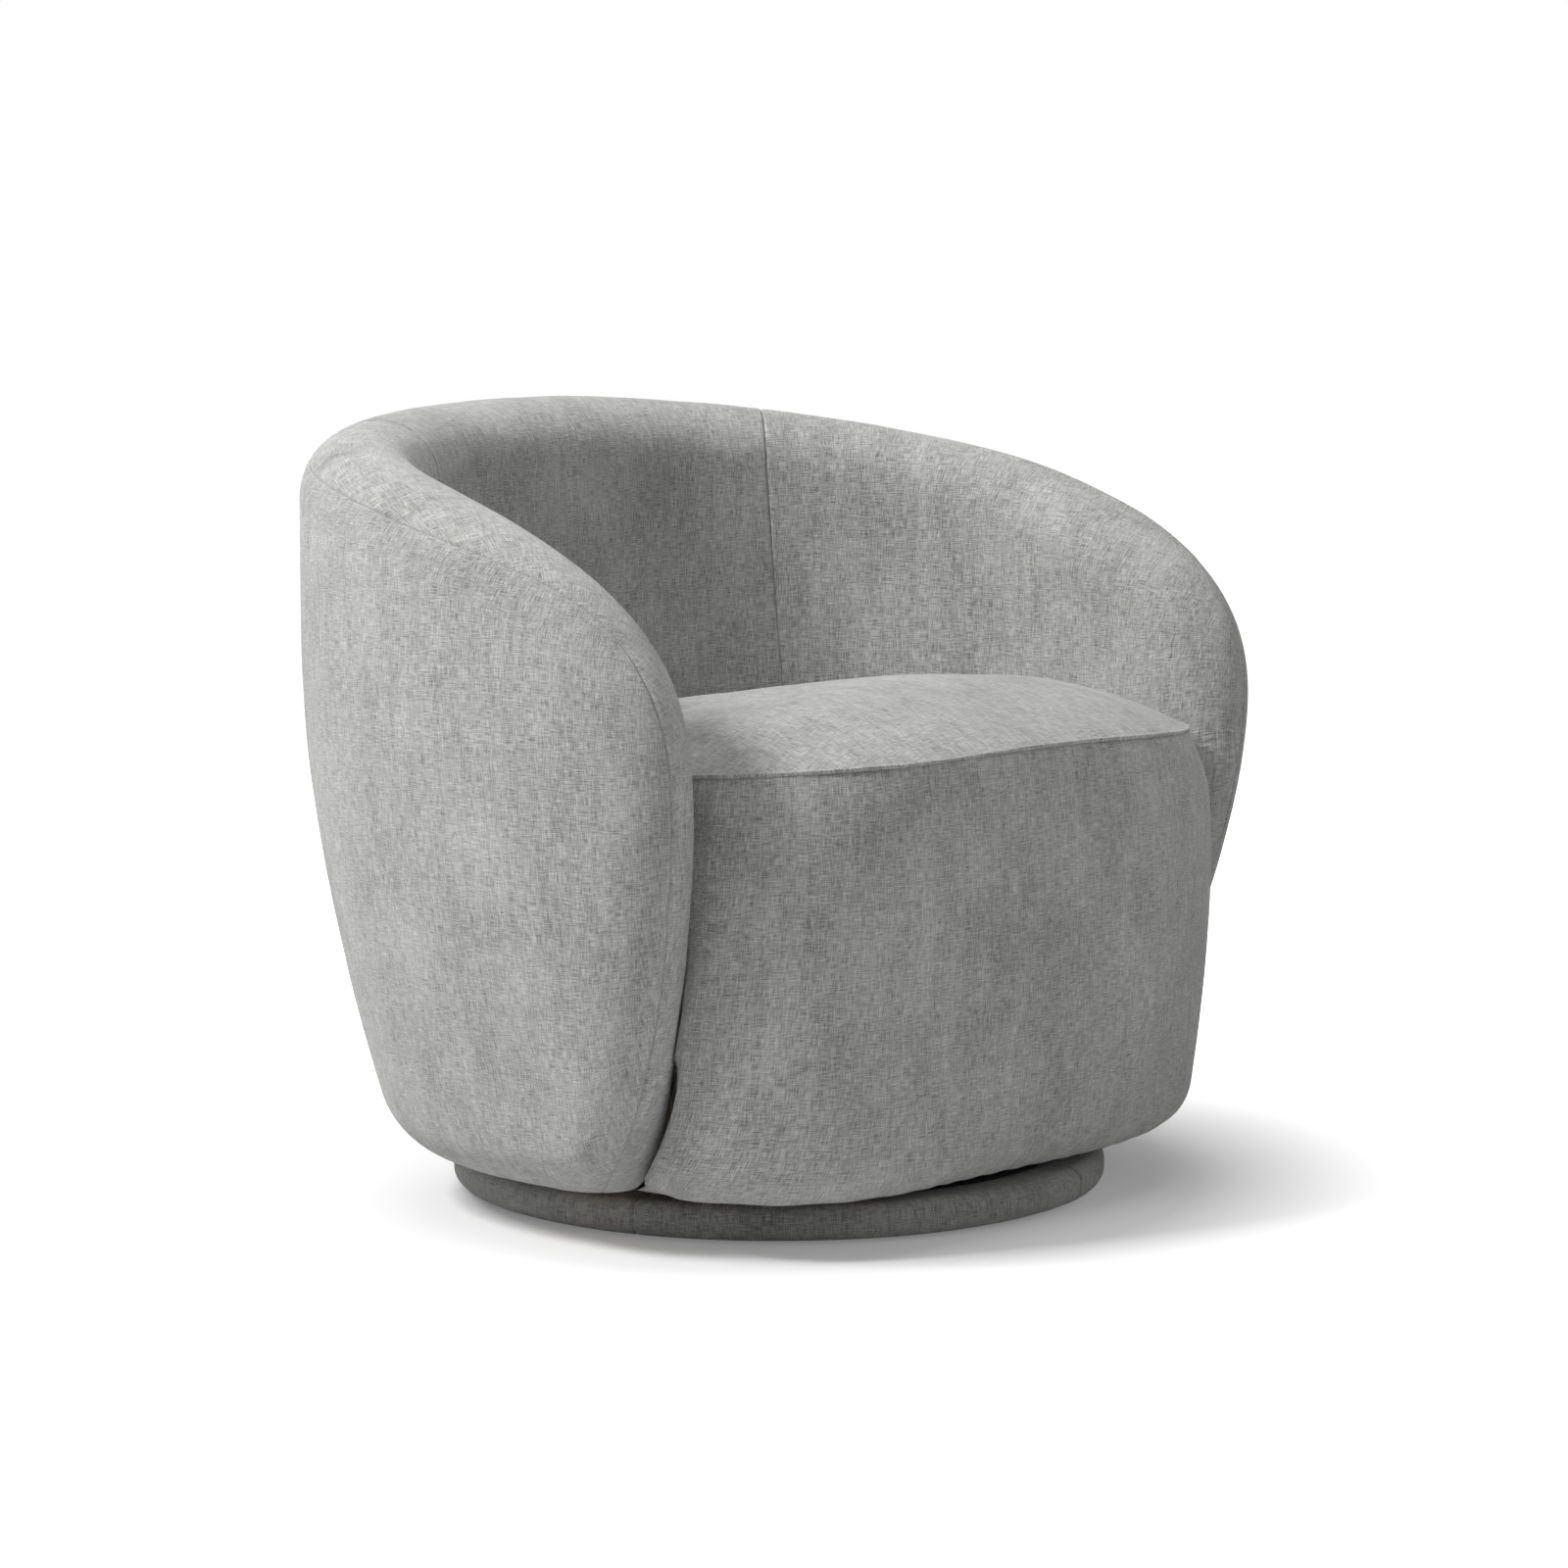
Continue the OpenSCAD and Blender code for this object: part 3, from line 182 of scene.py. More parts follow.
class StageLook(bpy.types.PropertyGroup):
    """Camera, lamps and floor."""
    azimuth: turn("Azimuth", -48.35, "Camera's angle round the chair")
    elevation: turn("Elevation", 6.26, "Camera's angle above the floor")
    distance: size("Distance", 3.9673, "Distance of the camera", 0.1, 20)
    target_z: size("Aim height", 0.3688, "Height that the camera aims at")
    target_x: size("Aim sideways", 0.0046, "How far the aim is moved to the camera's right", -1)
    lens: number("Lens", 98.7, "Focal length in millimetres on a 36 mm sensor", 10, 300)
    key: number("Key light", 108, "Power of the main lamp on the left, in watts", 0, 1000)
    key_side: turn("Key side", 62, "Angle of the main lamp to the left of the camera")
    key_rise: turn("Key rise", 43, "Angle of the main lamp above the floor")
    key_far: size("Key distance", 3.5, "Distance of the main lamp", 0.5, 20)
    key_size: size("Key size", 0.85, "Side of the main lamp", 0.05)
    fill: number("Fill light", 14, "Power of the weaker lamp on the right, in watts", 0, 1000)
    top: number("Top light", 46, "Power of the lamp above, in watts", 0, 1000)
    world: number("World", 0.17, "Brightness of the surroundings")


class ClubChair(bpy.types.PropertyGroup):
    """Everything a user of the chair may change."""
    shell: PointerProperty(type=ShellShape)
    seat: PointerProperty(type=SeatShape)
    plinth: PointerProperty(type=PlinthShape)
    cloth: PointerProperty(type=ClothLook)
    stage: PointerProperty(type=StageLook)


def chair():
    """The chair's values."""
    return bpy.context.scene.club_chair


# Shell form


def clamp_share(t):
    """A share kept between 0 and 1."""
    return np.clip(t, 0, 1)


def smooth(t):
    """A share from 0 to 1 that starts and ends gently."""
    t = clamp_share(t)
    return t * t * (3 - 2 * t)


def foot_shares(count):
    """Shares from 0 to 1, closer together at the foot."""
    t = np.linspace(0, 1, count)
    return t * t * (2 - t)


def plan_curve(a, half_w, reach, power):
    """Reach of a squared ellipse at an angle."""
    return ((abs(np.sin(a)) / half_w) ** power + (abs(np.cos(a)) / reach) ** power) ** (-1 / power)


def skin_r(a, z):
    """Reach of the shell's outer skin at an angle from the back and a height."""
    s = chair().shell
    t = np.maximum(0, (s.waist_z - z) / (s.waist_z - s.body_z))
    reach = np.where(np.cos(a) > 0, s.back_r, s.front_r)
    return plan_curve(a, s.half_w, reach, s.plan_power) * (1 - s.foot_draw_in / s.half_w * t ** s.foot_power)


def edge_round(d, w, h):
    """How far a rounding of width w and height h draws in at a distance d from its edge."""
    t = clamp_share(1 - d / h)
    return w * (1 - np.sqrt(1 - t * t))


def shell_point(u, z, depth):
    """Points at unrolled length u, height z and a depth below the outside of the cloth."""
    s = chair().shell
    a = u / s.unroll_r
    r = skin_r(a, z) - depth
    return np.stack(np.broadcast_arrays(r * np.sin(a), r * np.cos(a) + s.plan_y, z), -1)


def arch(k_signed, inset, low):
    """The rim's outline in unrolled length and height, drawn in by inset, with its feet at low."""
    s = chair().shell
    k = abs(k_signed)
    f, t = np.minimum(k, 1) * math.pi / 2, np.maximum(0, k - 1)
    reach = s.nose_angle * s.unroll_r - inset
    z_nose = s.nose_z - (s.nose_z - low) * t
    back_off = (s.nose_angle - s.nose_foot_angle) * s.unroll_r
    corner = edge_round(z_nose - s.body_z, s.nose_corner, s.nose_corner_h)
    u_nose = reach - back_off * t ** s.nose_power - corner
    u = np.where(k <= 1, reach * np.sin(f) ** (2 / s.across_power), u_nose)
    rise = np.maximum(0, np.cos(f)) ** (2 / s.height_power)
    z = np.where(k <= 1, s.nose_z + (s.top_z - inset - s.nose_z) * rise, z_nose)
    return np.sign(k_signed) * u, z


# How the wall's upright mesh lines fan out between the foot and the rim
FAN_START, OUTSIDE_FAN, INSIDE_FAN, FOOT_END = 0.4, 0.9, 1.18, 0.94


def foot_u(k_signed, inset, low, fan):
    """Unrolled length, on the foot line, of the column that starts at a place on the rim."""
    k = abs(k_signed)
    t = np.maximum(0, (k - FAN_START) / (2 - FAN_START))
    near = arch(np.minimum(k, FAN_START), inset, low)[0] * fan
    end = arch(np.full_like(k, 2.0), inset, low)[0] * FOOT_END
    return np.sign(k_signed) * (near + (end - near) * t)


def sheet_points(k, inset, low, share, outer, round_w, round_h, fan=OUTSIDE_FAN):
    """A row of points between the foot line and the rim, with its unrolled place."""
    pu, pz = arch(k, inset, low)
    fu = foot_u(k, inset, low, fan)
    z = low + (pz - low) * share
    u = fu + (pu - fu) * share
    return shell_point(u, z, outer + edge_round(z - low, round_w, round_h)), np.stack([u, z], -1)


def rim_points(k, angle, outer, inner, edge, low_out, low_in):
    """A row of points round the rim, at an angle from the outside over the edge to the inside."""
    s = chair().shell
    half = (s.wall_t - outer - inner) / 2
    low = low_in + (low_out - low_in) * (1 + np.sin(angle)) / 2
    pu, pz = arch(k, edge + half * (1 - np.cos(angle)), low)
    d0 = outer + edge_round(pz - low_out, s.round_w, s.round_h)
    d1 = s.wall_t - inner
    depth = (d0 + d1) / 2 - (d1 - d0) / 2 * np.sin(angle)
    return shell_point(pu, pz, depth), np.stack([pu, pz], -1)


def rim_places(k0, k1, step, seam_low=False, seam_high=False):
    """Places along the rim at even distances, closer together beside a seam."""
    s = chair().shell
    y = np.linspace(0, 1, 1500)
    table = np.concatenate([1 - (1 - y) ** 3, 1 + (1 - (1 - y[1:]) ** 2)])
    table = np.concatenate([-table[:0:-1], table])
    table = table[(table > k0) & (table < k1)]
    table = np.concatenate([[k0], table, [k1]])
    u, z = arch(table, s.wall_t / 2, s.body_z)
    along = np.concatenate([[0], np.cumsum(np.hypot(np.diff(u), np.diff(z)))])
    return np.interp(seam_spacing(along[-1], step, seam_low, seam_high), along, table)


def seam_spacing(length, step, seam_low, seam_high):
    """Distances from 0 to length, closer together beside a seam."""
    steps = np.array(SEAM_STEPS)
    low = steps if seam_low else steps[:1]
    high = length - (steps if seam_high else steps[:1])[::-1]
    count = max(2, round((high[0] - low[-1]) / step))
    return np.concatenate([low[:-1], np.linspace(low[-1], high[0], count + 1), high[1:]])


# Seat form


def nose_u(z):
    """Unrolled length of the arm end's edge at a height."""
    s = chair().shell
    t = clamp_share((s.nose_z - z) / (s.nose_z - s.body_z))
    v = clamp_share((z - s.nose_z) / (s.top_z - s.nose_z))
    full, foot = s.nose_angle * s.unroll_r, s.nose_foot_angle * s.unroll_r
    corner = edge_round(z - s.body_z, s.nose_corner, s.nose_corner_h)
    return np.where(z < s.nose_z, full - (full - foot) * t ** s.nose_power - corner,
                    full * (1 - v ** s.height_power) ** (1 / s.across_power))


def folded(a):
    """An angle from the back to either side."""
    return np.where(a > math.pi, 2 * math.pi - a, abs(a))


# Angle of the seat's upper front corners, and how far round they are rounded
SEAT_CORNER, SEAT_CORNER_W = math.radians(130), 0.2


def seat_reach(a, z, inset):
    """Reach of the seat's skin at an angle from the back and a height, inside the shell and the arm ends."""
    s, e = chair().shell, chair().seat
    t = clamp_share((e.waist_z - z) / (e.waist_z - s.body_z))
    up = clamp_share((z - e.waist_z) / (e.seam_z - e.waist_z))
    free = plan_curve(a, e.half_w, e.front_r, e.power) * (1 - e.draw_in / e.half_w * t ** e.foot_power)
    half, fold = s.wall_t / 2, folded(a)
    corner = np.exp(-((fold - SEAT_CORNER) / SEAT_CORNER_W) ** 2) * smooth((z - e.seam_z) / e.corner_h + 1)
    free = free - e.top_in * up * up - e.corner_in * corner
    r = skin_r(fold, z) - half
    past = np.maximum(0, (fold * s.unroll_r - (nose_u(z) - half)) * r / s.unroll_r / (half + e.nose_gap))
    inside = np.where(past > 1, 2 * s.half_w, r - (half + e.gap) * np.sqrt(np.maximum(0, 1 - past * past)))
    return np.minimum(free, inside) - inset


# Angles between which the seat's upright mesh lines follow the arm ends
SWING_START, SWING_FULL, SWING_END = (math.radians(x) for x in (60, 105, 150))


def swung(a, z):
    """Columns near the arm ends swing back with them towards the foot."""
    s = chair().shell
    fold = folded(a)
    away = np.where((a > math.pi) | (a < 0), 1, -1)
    share = np.minimum(clamp_share((SWING_END - fold) / (SWING_END - s.nose_angle)),
                       clamp_share((fold - SWING_START) / (SWING_FULL - SWING_START)))
    return a + away * share * np.maximum(0, s.nose_angle - nose_u(np.minimum(z, s.nose_z)) / s.unroll_r)


def seat_point(a, z, inset, dropped):
    """Points of the seat's upright skin; dropped ones follow the seam's fall at the sides."""
    s, e = chair().shell, chair().seat
    b = swung(a, z)
    r = seat_reach(b, z, inset)
    drop = e.seam_drop * (np.sin(b) * (z - s.body_z) / (e.seam_z - s.body_z)) ** 2 * dropped
    return np.stack(np.broadcast_arrays(r * np.sin(b), r * np.cos(b) + s.plan_y, z - drop), -1)


def crown_ring(a, share, depth):
    """A ring of the seat's crown at a share of its reach and a depth below the cloth."""
    s, e = chair().shell, chair().seat
    r = seat_reach(a, np.full_like(a, e.seam_z), depth) * share
    behind = np.maximum(0, r * np.cos(a) + e.front_r - e.slope_in)
    z = (e.seam_z + e.crown_h * (1 - share ** e.crown_power) - e.seam_drop * (np.sin(a) * share) ** 2
         - e.slope * behind * (1 - share ** e.slope_power) - depth)
    return np.stack([r * np.sin(a), r * np.cos(a) + s.plan_y, z], -1)


def crown_middle(depth):
    """The middle point of the seat's crown at a depth below the cloth."""
    return [0, chair().shell.plan_y, crown_ring(np.zeros(1), 0.0, depth)[0, 2]]


# Meshes


def linked(name, data):
    """An object that holds some data, linked to the scene."""
    made = bpy.data.objects.new(name, data)
    bpy.context.scene.collection.objects.link(made)
    return made


def new_object(name, points, faces, uv=None):
    """A mesh object from points and faces, with a weave map where uv gives one place for each point."""
    mesh = bpy.data.meshes.new(name)
    mesh.from_pydata([tuple(p) for p in points], [], faces)
    mesh.validate()
    if uv is not None:
        corner = np.zeros(len(mesh.loops), np.int32)
        mesh.loops.foreach_get("vertex_index", corner)
        layer = mesh.uv_layers.new(name=WEAVE_MAP)
        layer.data.foreach_set("uv", np.asarray(uv, np.float32)[corner].ravel())
    mesh.shade_smooth()
    return linked(name, mesh)


def grid_faces(rows, cols, wrap=False):
    """Faces between the points of a grid, counted row by row."""
    faces = []
    for r in range(rows - 1):
        for c in range(cols if wrap else cols - 1):
            d = (c + 1) % cols
            a = r * cols
            faces.append((a + c, a + d, a + cols + d, a + cols + c))
    return faces


def border(rows, cols):
    """Points round the edge of a grid."""
    last = (rows - 1) * cols
    return (list(range(cols - 1)) + [r * cols + cols - 1 for r in range(rows - 1)]
            + [last + c for c in range(cols - 1, 0, -1)] + [r * cols for r in range(rows - 1, 0, -1)])


def volume(points, faces):
    """Volume inside closed faces, negative where they point inwards."""
    p = np.asarray(points)
    f = np.array([(x[0], x[i], x[i + 1]) for x in faces for i in range(1, len(x) - 1)])
    a, b, c = (p[f[:, i]] for i in range(3))
    return (a * np.cross(b, c)).sum() / 6


def outward(points, faces):
    """Closed faces turned so that they point outwards."""
    return faces if volume(points, faces) > 0 else [tuple(reversed(f)) for f in faces]


def slab(name, outer, inner, uv=None, wrap=False, tip=None):
    """A closed piece between two grids of the same size.

    A wrapped grid closes on itself. tip gives a cap's two middle points, outer and inner, and their place on
    the weave's map.
    """
    rows, cols = outer.shape[:2]
    n = rows * cols
    points = np.concatenate([outer.reshape(-1, 3), inner.reshape(-1, 3)])
    faces = grid_faces(rows, cols, wrap)
    faces += [tuple(i + n for i in reversed(f)) for f in faces]
    if wrap:
        for r in [0] if tip else [0, rows - 1]:
            for c in range(cols):
                a, b = r * cols + c, r * cols + (c + 1) % cols
                quad = (b, a, a + n, b + n)
                faces.append(quad if r == 0 else tuple(reversed(quad)))
    else:
        ring = border(rows, cols)
        faces += [(q, p, p + n, q + n) for p, q in zip(ring, ring[1:] + ring[:1])]
    maps = None if uv is None else np.tile(uv.reshape(-1, 2), (2, 1))
    if tip:
        top = (rows - 1) * cols
        points = np.concatenate([points, tip[:2]])
        faces += [(top + c, top + (c + 1) % cols, 2 * n) for c in range(cols)]
        faces += [(n + top + (c + 1) % cols, n + top + c, 2 * n + 1) for c in range(cols)]
        maps = np.concatenate([maps, [tip[2], tip[2]]])
    return new_object(name, points, outward(points, faces), maps)


def lengths(grid, axis):
    """Distance along a grid's rows or columns, from the first point."""
    step = np.linalg.norm(np.diff(grid, axis=axis), axis=-1)
    pad = [(0, 0), (0, 0)]
    pad[axis] = (1, 0)
    return np.pad(np.cumsum(step, axis=axis), pad)


# The smaller puckers among a seam's puckers: their height, length and shift
SMALL_PUCKER, SMALL_LENGTH, SMALL_SHIFT = 0.6, 0.61, 1.3


def crease(d, along):
    """Depth of a seam's crease at a distance from it, with the small puckers beside it."""
    c = chair().cloth
    dip = c.seam_depth * clamp_share(1 - d / c.seam_w) ** 2
    turns = 2 * math.pi * along / c.pucker_w
    wave = np.sin(turns) + SMALL_PUCKER * np.sin(turns / SMALL_LENGTH + SMALL_SHIFT)
    return dip + c.pucker * wave * np.exp(-d / (c.pucker_w / 2))


# The roll of the seat's cloth over the front seam, and the fall of the cloth behind it
ROLL_H, ROLL_W, ROLL_IN = 0.0016, 0.0012, 0.0018
FALL_DEPTH, FALL_W = 0.0012, 0.012


def rolled_edge(d, along):
    """Depth of the seat's edge beside the front seam: it stands out as a thin roll over the crease."""
    c = chair().cloth
    roll = ROLL_H * np.exp(-((d - ROLL_IN) / ROLL_W) ** 2)
    dip = c.seam_depth * clamp_share(1 - d / ROLL_W)
    puckers = c.pucker * np.sin(2 * math.pi * along / c.pucker_w) * np.exp(-d / (c.pucker_w / 2))
    return dip - roll + FALL_DEPTH * np.exp(-d / FALL_W) + puckers


SHORT_WAVE, SHORT_STEP = 0.35, 2.7


def unevenness(points, spread=7.0, offset=0.0):
    """The slow waves of hand-fitted cloth."""
    c = chair().cloth
    flat = points.reshape(-1, 3) * spread
    base = Vector((c.seed + offset, 3.1, 5.7))
    wide = np.array([noise.noise(Vector(p) + base) for p in flat])
    short = np.array([noise.noise(Vector(p) * SHORT_STEP + base) for p in flat])
    return c.wave * (wide + SHORT_WAVE * short).reshape(points.shape[:-1])


def pressed(outer, inner, depth):
    """Both faces of a cloth moved inwards by a depth for each point."""
    way = outer - inner
    way = way / np.maximum(np.linalg.norm(way, axis=-1, keepdims=True), 1e-9)
    move = way * depth[..., None]
    return outer - move, inner - move


# The cloth simulation: its length, how far its result may move a cloth in or out, and its cloth's values
SIM_FRAMES = 20
MOST_IN, MOST_OUT = -0.0004, 0.004
SIM_CLOTH = {"quality": 6, "mass": 0.3, "vertex_group_mass": "held", "tension_stiffness": 80,
             "compression_stiffness": 80, "shear_stiffness": 40, "bending_stiffness": 2, "use_pressure": True}


def lifted(outer, inner, wrap, held, pressure, lower):
    """How far a cloth simulation with air pressure behind it lifts each point of a grid above its form.

    Held points stay where they start. Every point starts lower by its own depth.
    """
    points = outer.reshape(-1, 3)
    way = (outer - inner).reshape(-1, 3)
    way = way / np.linalg.norm(way, axis=-1, keepdims=True)
    faces = grid_faces(*outer.shape[:2], wrap)
    start = points - way * np.broadcast_to(lower, outer.shape[:2]).reshape(-1, 1)
    form = new_object("cloth_form", start, faces)
    normals = np.array([p.vector for p in form.data.vertex_normals])
    if (normals * way).sum() < 0:
        form.data.flip_normals()
    group = form.vertex_groups.new(name="held")
    group.add([int(i) for i in np.flatnonzero(held)], 1.0, "REPLACE")
    cloth = form.modifiers.new("cloth", "CLOTH")
    for key, value in SIM_CLOTH.items():
        setattr(cloth.settings, key, value)
    cloth.settings.uniform_pressure_force = pressure
    cloth.settings.effector_weights.gravity = 0
    cloth.point_cache.frame_start, cloth.point_cache.frame_end = 1, SIM_FRAMES
    scene = bpy.context.scene
    for step in range(SIM_FRAMES):
        scene.frame_set(1 + step)
    moved = np.empty(points.size)
    form.evaluated_get(bpy.context.evaluated_depsgraph_get()).data.vertices.foreach_get("co", moved)
    scene.frame_set(1)
    bpy.data.objects.remove(form)
    lift = ((moved.reshape(-1, 3) - points) * way).sum(-1)
    return np.clip(lift, MOST_IN, MOST_OUT).reshape(outer.shape[:2])


# Node trees


class Value:
    """A node's output that Python arithmetic extends with Math nodes."""

    def __init__(self, nodes, socket):
        self.nodes, self.socket = nodes, socket

    def __add__(self, other):
        return self.nodes.math("ADD", self, other)

    def __sub__(self, other):
        return self.nodes.math("SUBTRACT", self, other)

    def __rsub__(self, other):
        return self.nodes.math("SUBTRACT", other, self)

    def __mul__(self, other):
        return self.nodes.math("MULTIPLY", self, other)

    __radd__, __rmul__ = __add__, __mul__


class Nodes:
    """A node tree being built."""

    def __init__(self, tree):
        self.tree = tree
        tree.nodes.clear()

    def node(self, kind, settings, inputs, out=0):
        """A node with its settings and the values or links of its inputs; gives one of its outputs."""
        made = self.tree.nodes.new(kind)
        for key, value in settings.items():
            setattr(made, key, value)
        for key, value in inputs.items():
            if isinstance(value, Value):
                self.tree.links.new(value.socket, made.inputs[key])
            else:
                made.inputs[key].default_value = value
        return Value(self, made.outputs[out]) if made.outputs else None

    def math(self, operation, a, b=0.0):
        """Arithmetic on values or links."""
        return self.node("ShaderNodeMath", {"operation": operation}, {0: a, 1: b})

    def range(self, value, low, high, new_low=0.0, new_high=1.0, curve="LINEAR"):
        """A value carried from one range to another and clipped to it."""
        return self.node("ShaderNodeMapRange", {"interpolation_type": curve},
                         {"Value": value, "From Min": low, "From Max": high, "To Min": new_low,
                          "To Max": new_high})

    def ray(self, kind):
        """1 for a kind of ray, 0 for the others."""
        return self.node("ShaderNodeLightPath", {}, {}, kind)


# Finishes


class Finish(Nodes):
    """A material being built."""

    def __init__(self, name, **constants):
        self.material = bpy.data.materials.new(name)
        self.material.use_nodes = True
        super().__init__(self.material.node_tree)
        constants = {socket.replace("_", " "): value for socket, value in constants.items()}
        surface = self.node("ShaderNodeBsdfPrincipled", {}, constants)
        self.node("ShaderNodeOutputMaterial", {}, {"Surface": surface})
        self.shader = surface.socket.node

    def noise(self, place, scale, detail=2.0, rough=0.5, distort=0.0):
        """Soft noise whose cells are 1/scale long along each axis."""
        at = self.node("ShaderNodeMapping", {}, {"Vector": place, "Scale": scale})
        return self.node("ShaderNodeTexNoise", {}, {"Vector": at, "Scale": 1.0, "Detail": detail,
                                                    "Roughness": rough, "Distortion": distort})

    def span(self, value, low, high, new_low=0.0, new_high=1.0):
        """A range with gentle ends."""
        return self.range(value, low, high, new_low, new_high, "SMOOTHSTEP")

    def mix(self, factor, a, b):
        """Two colours of three numbers or links, mixed."""
        a, b = (x if isinstance(x, Value) else (*x, 1) for x in (a, b))
        return self.node("ShaderNodeMix", {"data_type": "RGBA"}, {0: factor, 6: a, 7: b}, 2)

    def feed(self, **links):
        """Links the shader's own sockets."""
        for socket, value in links.items():
            self.tree.links.new(value.socket, self.shader.inputs[socket.replace("_", " ")])

    def bump(self, height, distance, strength):
        """Directions of a surface with small heights on it."""
        return self.node("ShaderNodeBump", {}, {"Height": height, "Distance": distance, "Strength": strength})

    def weave(self):
        """Place on the weave's map."""
        return self.node("ShaderNodeUVMap", {"uv_map": WEAVE_MAP}, {})

    def place(self):
        """Place in the object's own space."""
        return self.node("ShaderNodeTexCoord", {}, {}, 3)


def toned(colour, level):
    """A colour made darker or lighter."""
    return tuple(x * level for x in colour)


def cloth_finish(name, level=1.0):
    """Heathered chenille: slubbed warp and weft, pale flecks and brushed patches; a level below 1 darkens all
    its tones as painted shade.
    """
    c = chair().cloth
    f = Finish(name, Roughness=0.92, Sheen_Weight=0.5, Sheen_Roughness=0.45, Specular_IOR_Level=0.25)
    at, body = f.weave(), f.place()
    warp = f.noise(at, (1150, 90, 1), 1.0, 0.5)
    weft = f.noise(at, (90, 1150, 1), 1.0, 0.5)
    slub_warp = f.noise(at, (300, 14, 1), 1.5, 0.5)
    slub_weft = f.noise(at, (16, 300, 1), 1.5, 0.5)
    crumb = f.noise(at, (1100, 1100, 1), 1.0, 0.6)
    nap = f.noise(at, (150, 9, 1), 2.0, 0.55, 0.3)
    blot = f.noise(body, (60, 60, 45), 3.0, 0.6, 0.5)
    patch = f.noise(body, (16, 16, 9), 3.0, 0.62, 0.6)
    threads = (warp + weft - 1) * 1.2 + (slub_warp + slub_weft - 1) * 0.28 + (crumb - 0.5) * 0.6
    brushed = (patch - 0.5) * 0.62 + (blot - 0.5) * 0.26 + (nap - 0.5) * 0.36
    shade = f.range(threads + brushed, -0.43, 0.43)
    light_warp, light_weft = f.noise(at, (1100, 60, 1), 1.0, 0.5), f.noise(at, (60, 1100, 1), 1.0, 0.5)
    fleck = f.span(light_warp, 0.62, 0.74) + f.span(light_weft, 0.63, 0.75)
    # A level below 1 darkens the thread tones: painted shade
    base = f.mix(shade, toned(c.dark, level), toned(c.light, level))
    height = threads + crumb * 0.5
    f.feed(Base_Color=f.mix(fleck * 0.5, base, toned(c.fleck, level)), Normal=f.bump(height, 0.0012, 0.8),
           Roughness=f.span(patch, 0.3, 0.7, 0.86, 0.98))
    return f.material


def foam_finish(name):
    """Cut foam: open cells and a yellowish tint."""
    f = Finish(name, Roughness=0.95, Specular_IOR_Level=0.2)
    at = f.place()
    cells = f.node("ShaderNodeTexVoronoi", {}, {"Vector": at, "Scale": 620.0})
    tint = f.noise(at, (9, 9, 9), 2.0)
    f.feed(Base_Color=f.mix(tint, (0.72, 0.64, 0.42), (0.83, 0.77, 0.58)),
           Normal=f.bump(cells, 0.001, 0.5))
    return f.material


def felt_finish(name, dark, light):
    """Matted short fibres."""
    f = Finish(name, Roughness=0.97, Specular_IOR_Level=0.15)
    at = f.place()
    hair = f.noise(at, (420, 420, 90), 4.0, 0.75, 1.5)
    f.feed(Base_Color=f.mix(f.span(hair, 0.3, 0.7), dark, light), Normal=f.bump(hair, 0.0007, 0.6))
    return f.material


def wood_finish(name, pale, deep):
    """Plywood: flamed grain on the faces and thin plies, which show where it is cut."""
    f = Finish(name, Roughness=0.62, Specular_IOR_Level=0.35)
    at = f.place()
    flame = f.noise(at, (9, 70, 70), 4.0, 0.6, 1.2)
    pores = f.noise(at, (60, 900, 900), 2.0, 0.6)
    colour = f.mix(f.span(flame, 0.3, 0.7), pale, deep)
    layer = f.math("FRACT", f.node("ShaderNodeSeparateXYZ", {}, {0: at}, 2) * 330)
    glue = (deep[0] * 0.6, deep[1] * 0.55, deep[2] * 0.5)
    colour = f.mix(f.span(layer, 0.42, 0.58) * 0.22, colour, glue)
    f.feed(Base_Color=colour, Roughness=f.span(flame, 0.2, 0.8, 0.55, 0.72),
           Normal=f.bump(pores + flame * 0.5, 0.0004, 0.4))
    return f.material


def fibre_finish(name):
    """Fibreboard: pressed brown chips."""
    f = Finish(name, Roughness=0.7, Specular_IOR_Level=0.3)
    at = f.place()
    chips = f.noise(at, (210, 210, 210), 4.0, 0.7, 0.8)
    f.feed(Base_Color=f.mix(chips, (0.24, 0.15, 0.08), (0.42, 0.29, 0.17)),
           Normal=f.bump(chips, 0.0003, 0.5))
    return f.material


def metal_finish(name, colour, rough, mottle):
    """Pressed or plated steel, with its rolled texture and small scuffs."""
    f = Finish(name, Metallic=1.0)
    at = f.place()
    grain = f.noise(at, (60, 900, 900), 3.0, 0.6)
    scuff = f.noise(at, (38, 38, 38), 4.0, 0.7, 0.7)
    f.feed(Base_Color=f.mix(f.span(scuff, 0.35, 0.7), colour, toned(colour, 1 - mottle)),
           Roughness=f.span(scuff, 0.3, 0.75, rough, rough + 0.22), Normal=f.bump(grain, 0.0002, 0.25))
    return f.material


def nylon_finish(name):
    """Moulded nylon with faint flow marks."""
    f = Finish(name, Roughness=0.42, Specular_IOR_Level=0.5)
    at = f.place()
    flow = f.noise(at, (55, 55, 20), 2.0, 0.5, 0.8)
    f.feed(Base_Color=f.mix(flow, (0.79, 0.78, 0.73), (0.87, 0.87, 0.84)),
           Roughness=f.span(flow, 0.3, 0.7, 0.36, 0.5), Normal=f.bump(flow, 0.0002, 0.3))
    return f.material


def thread_finish(name):
    """Twisted sewing thread."""
    f = Finish(name, Roughness=0.7, Sheen_Weight=0.2)
    at = f.place()
    twist = f.noise(at, (1500, 1500, 1500), 1.0)
    f.feed(Base_Color=f.mix(twist, (0.25, 0.27, 0.26), (0.42, 0.44, 0.43)),
           Normal=f.bump(twist, 0.0002, 0.4))
    return f.material


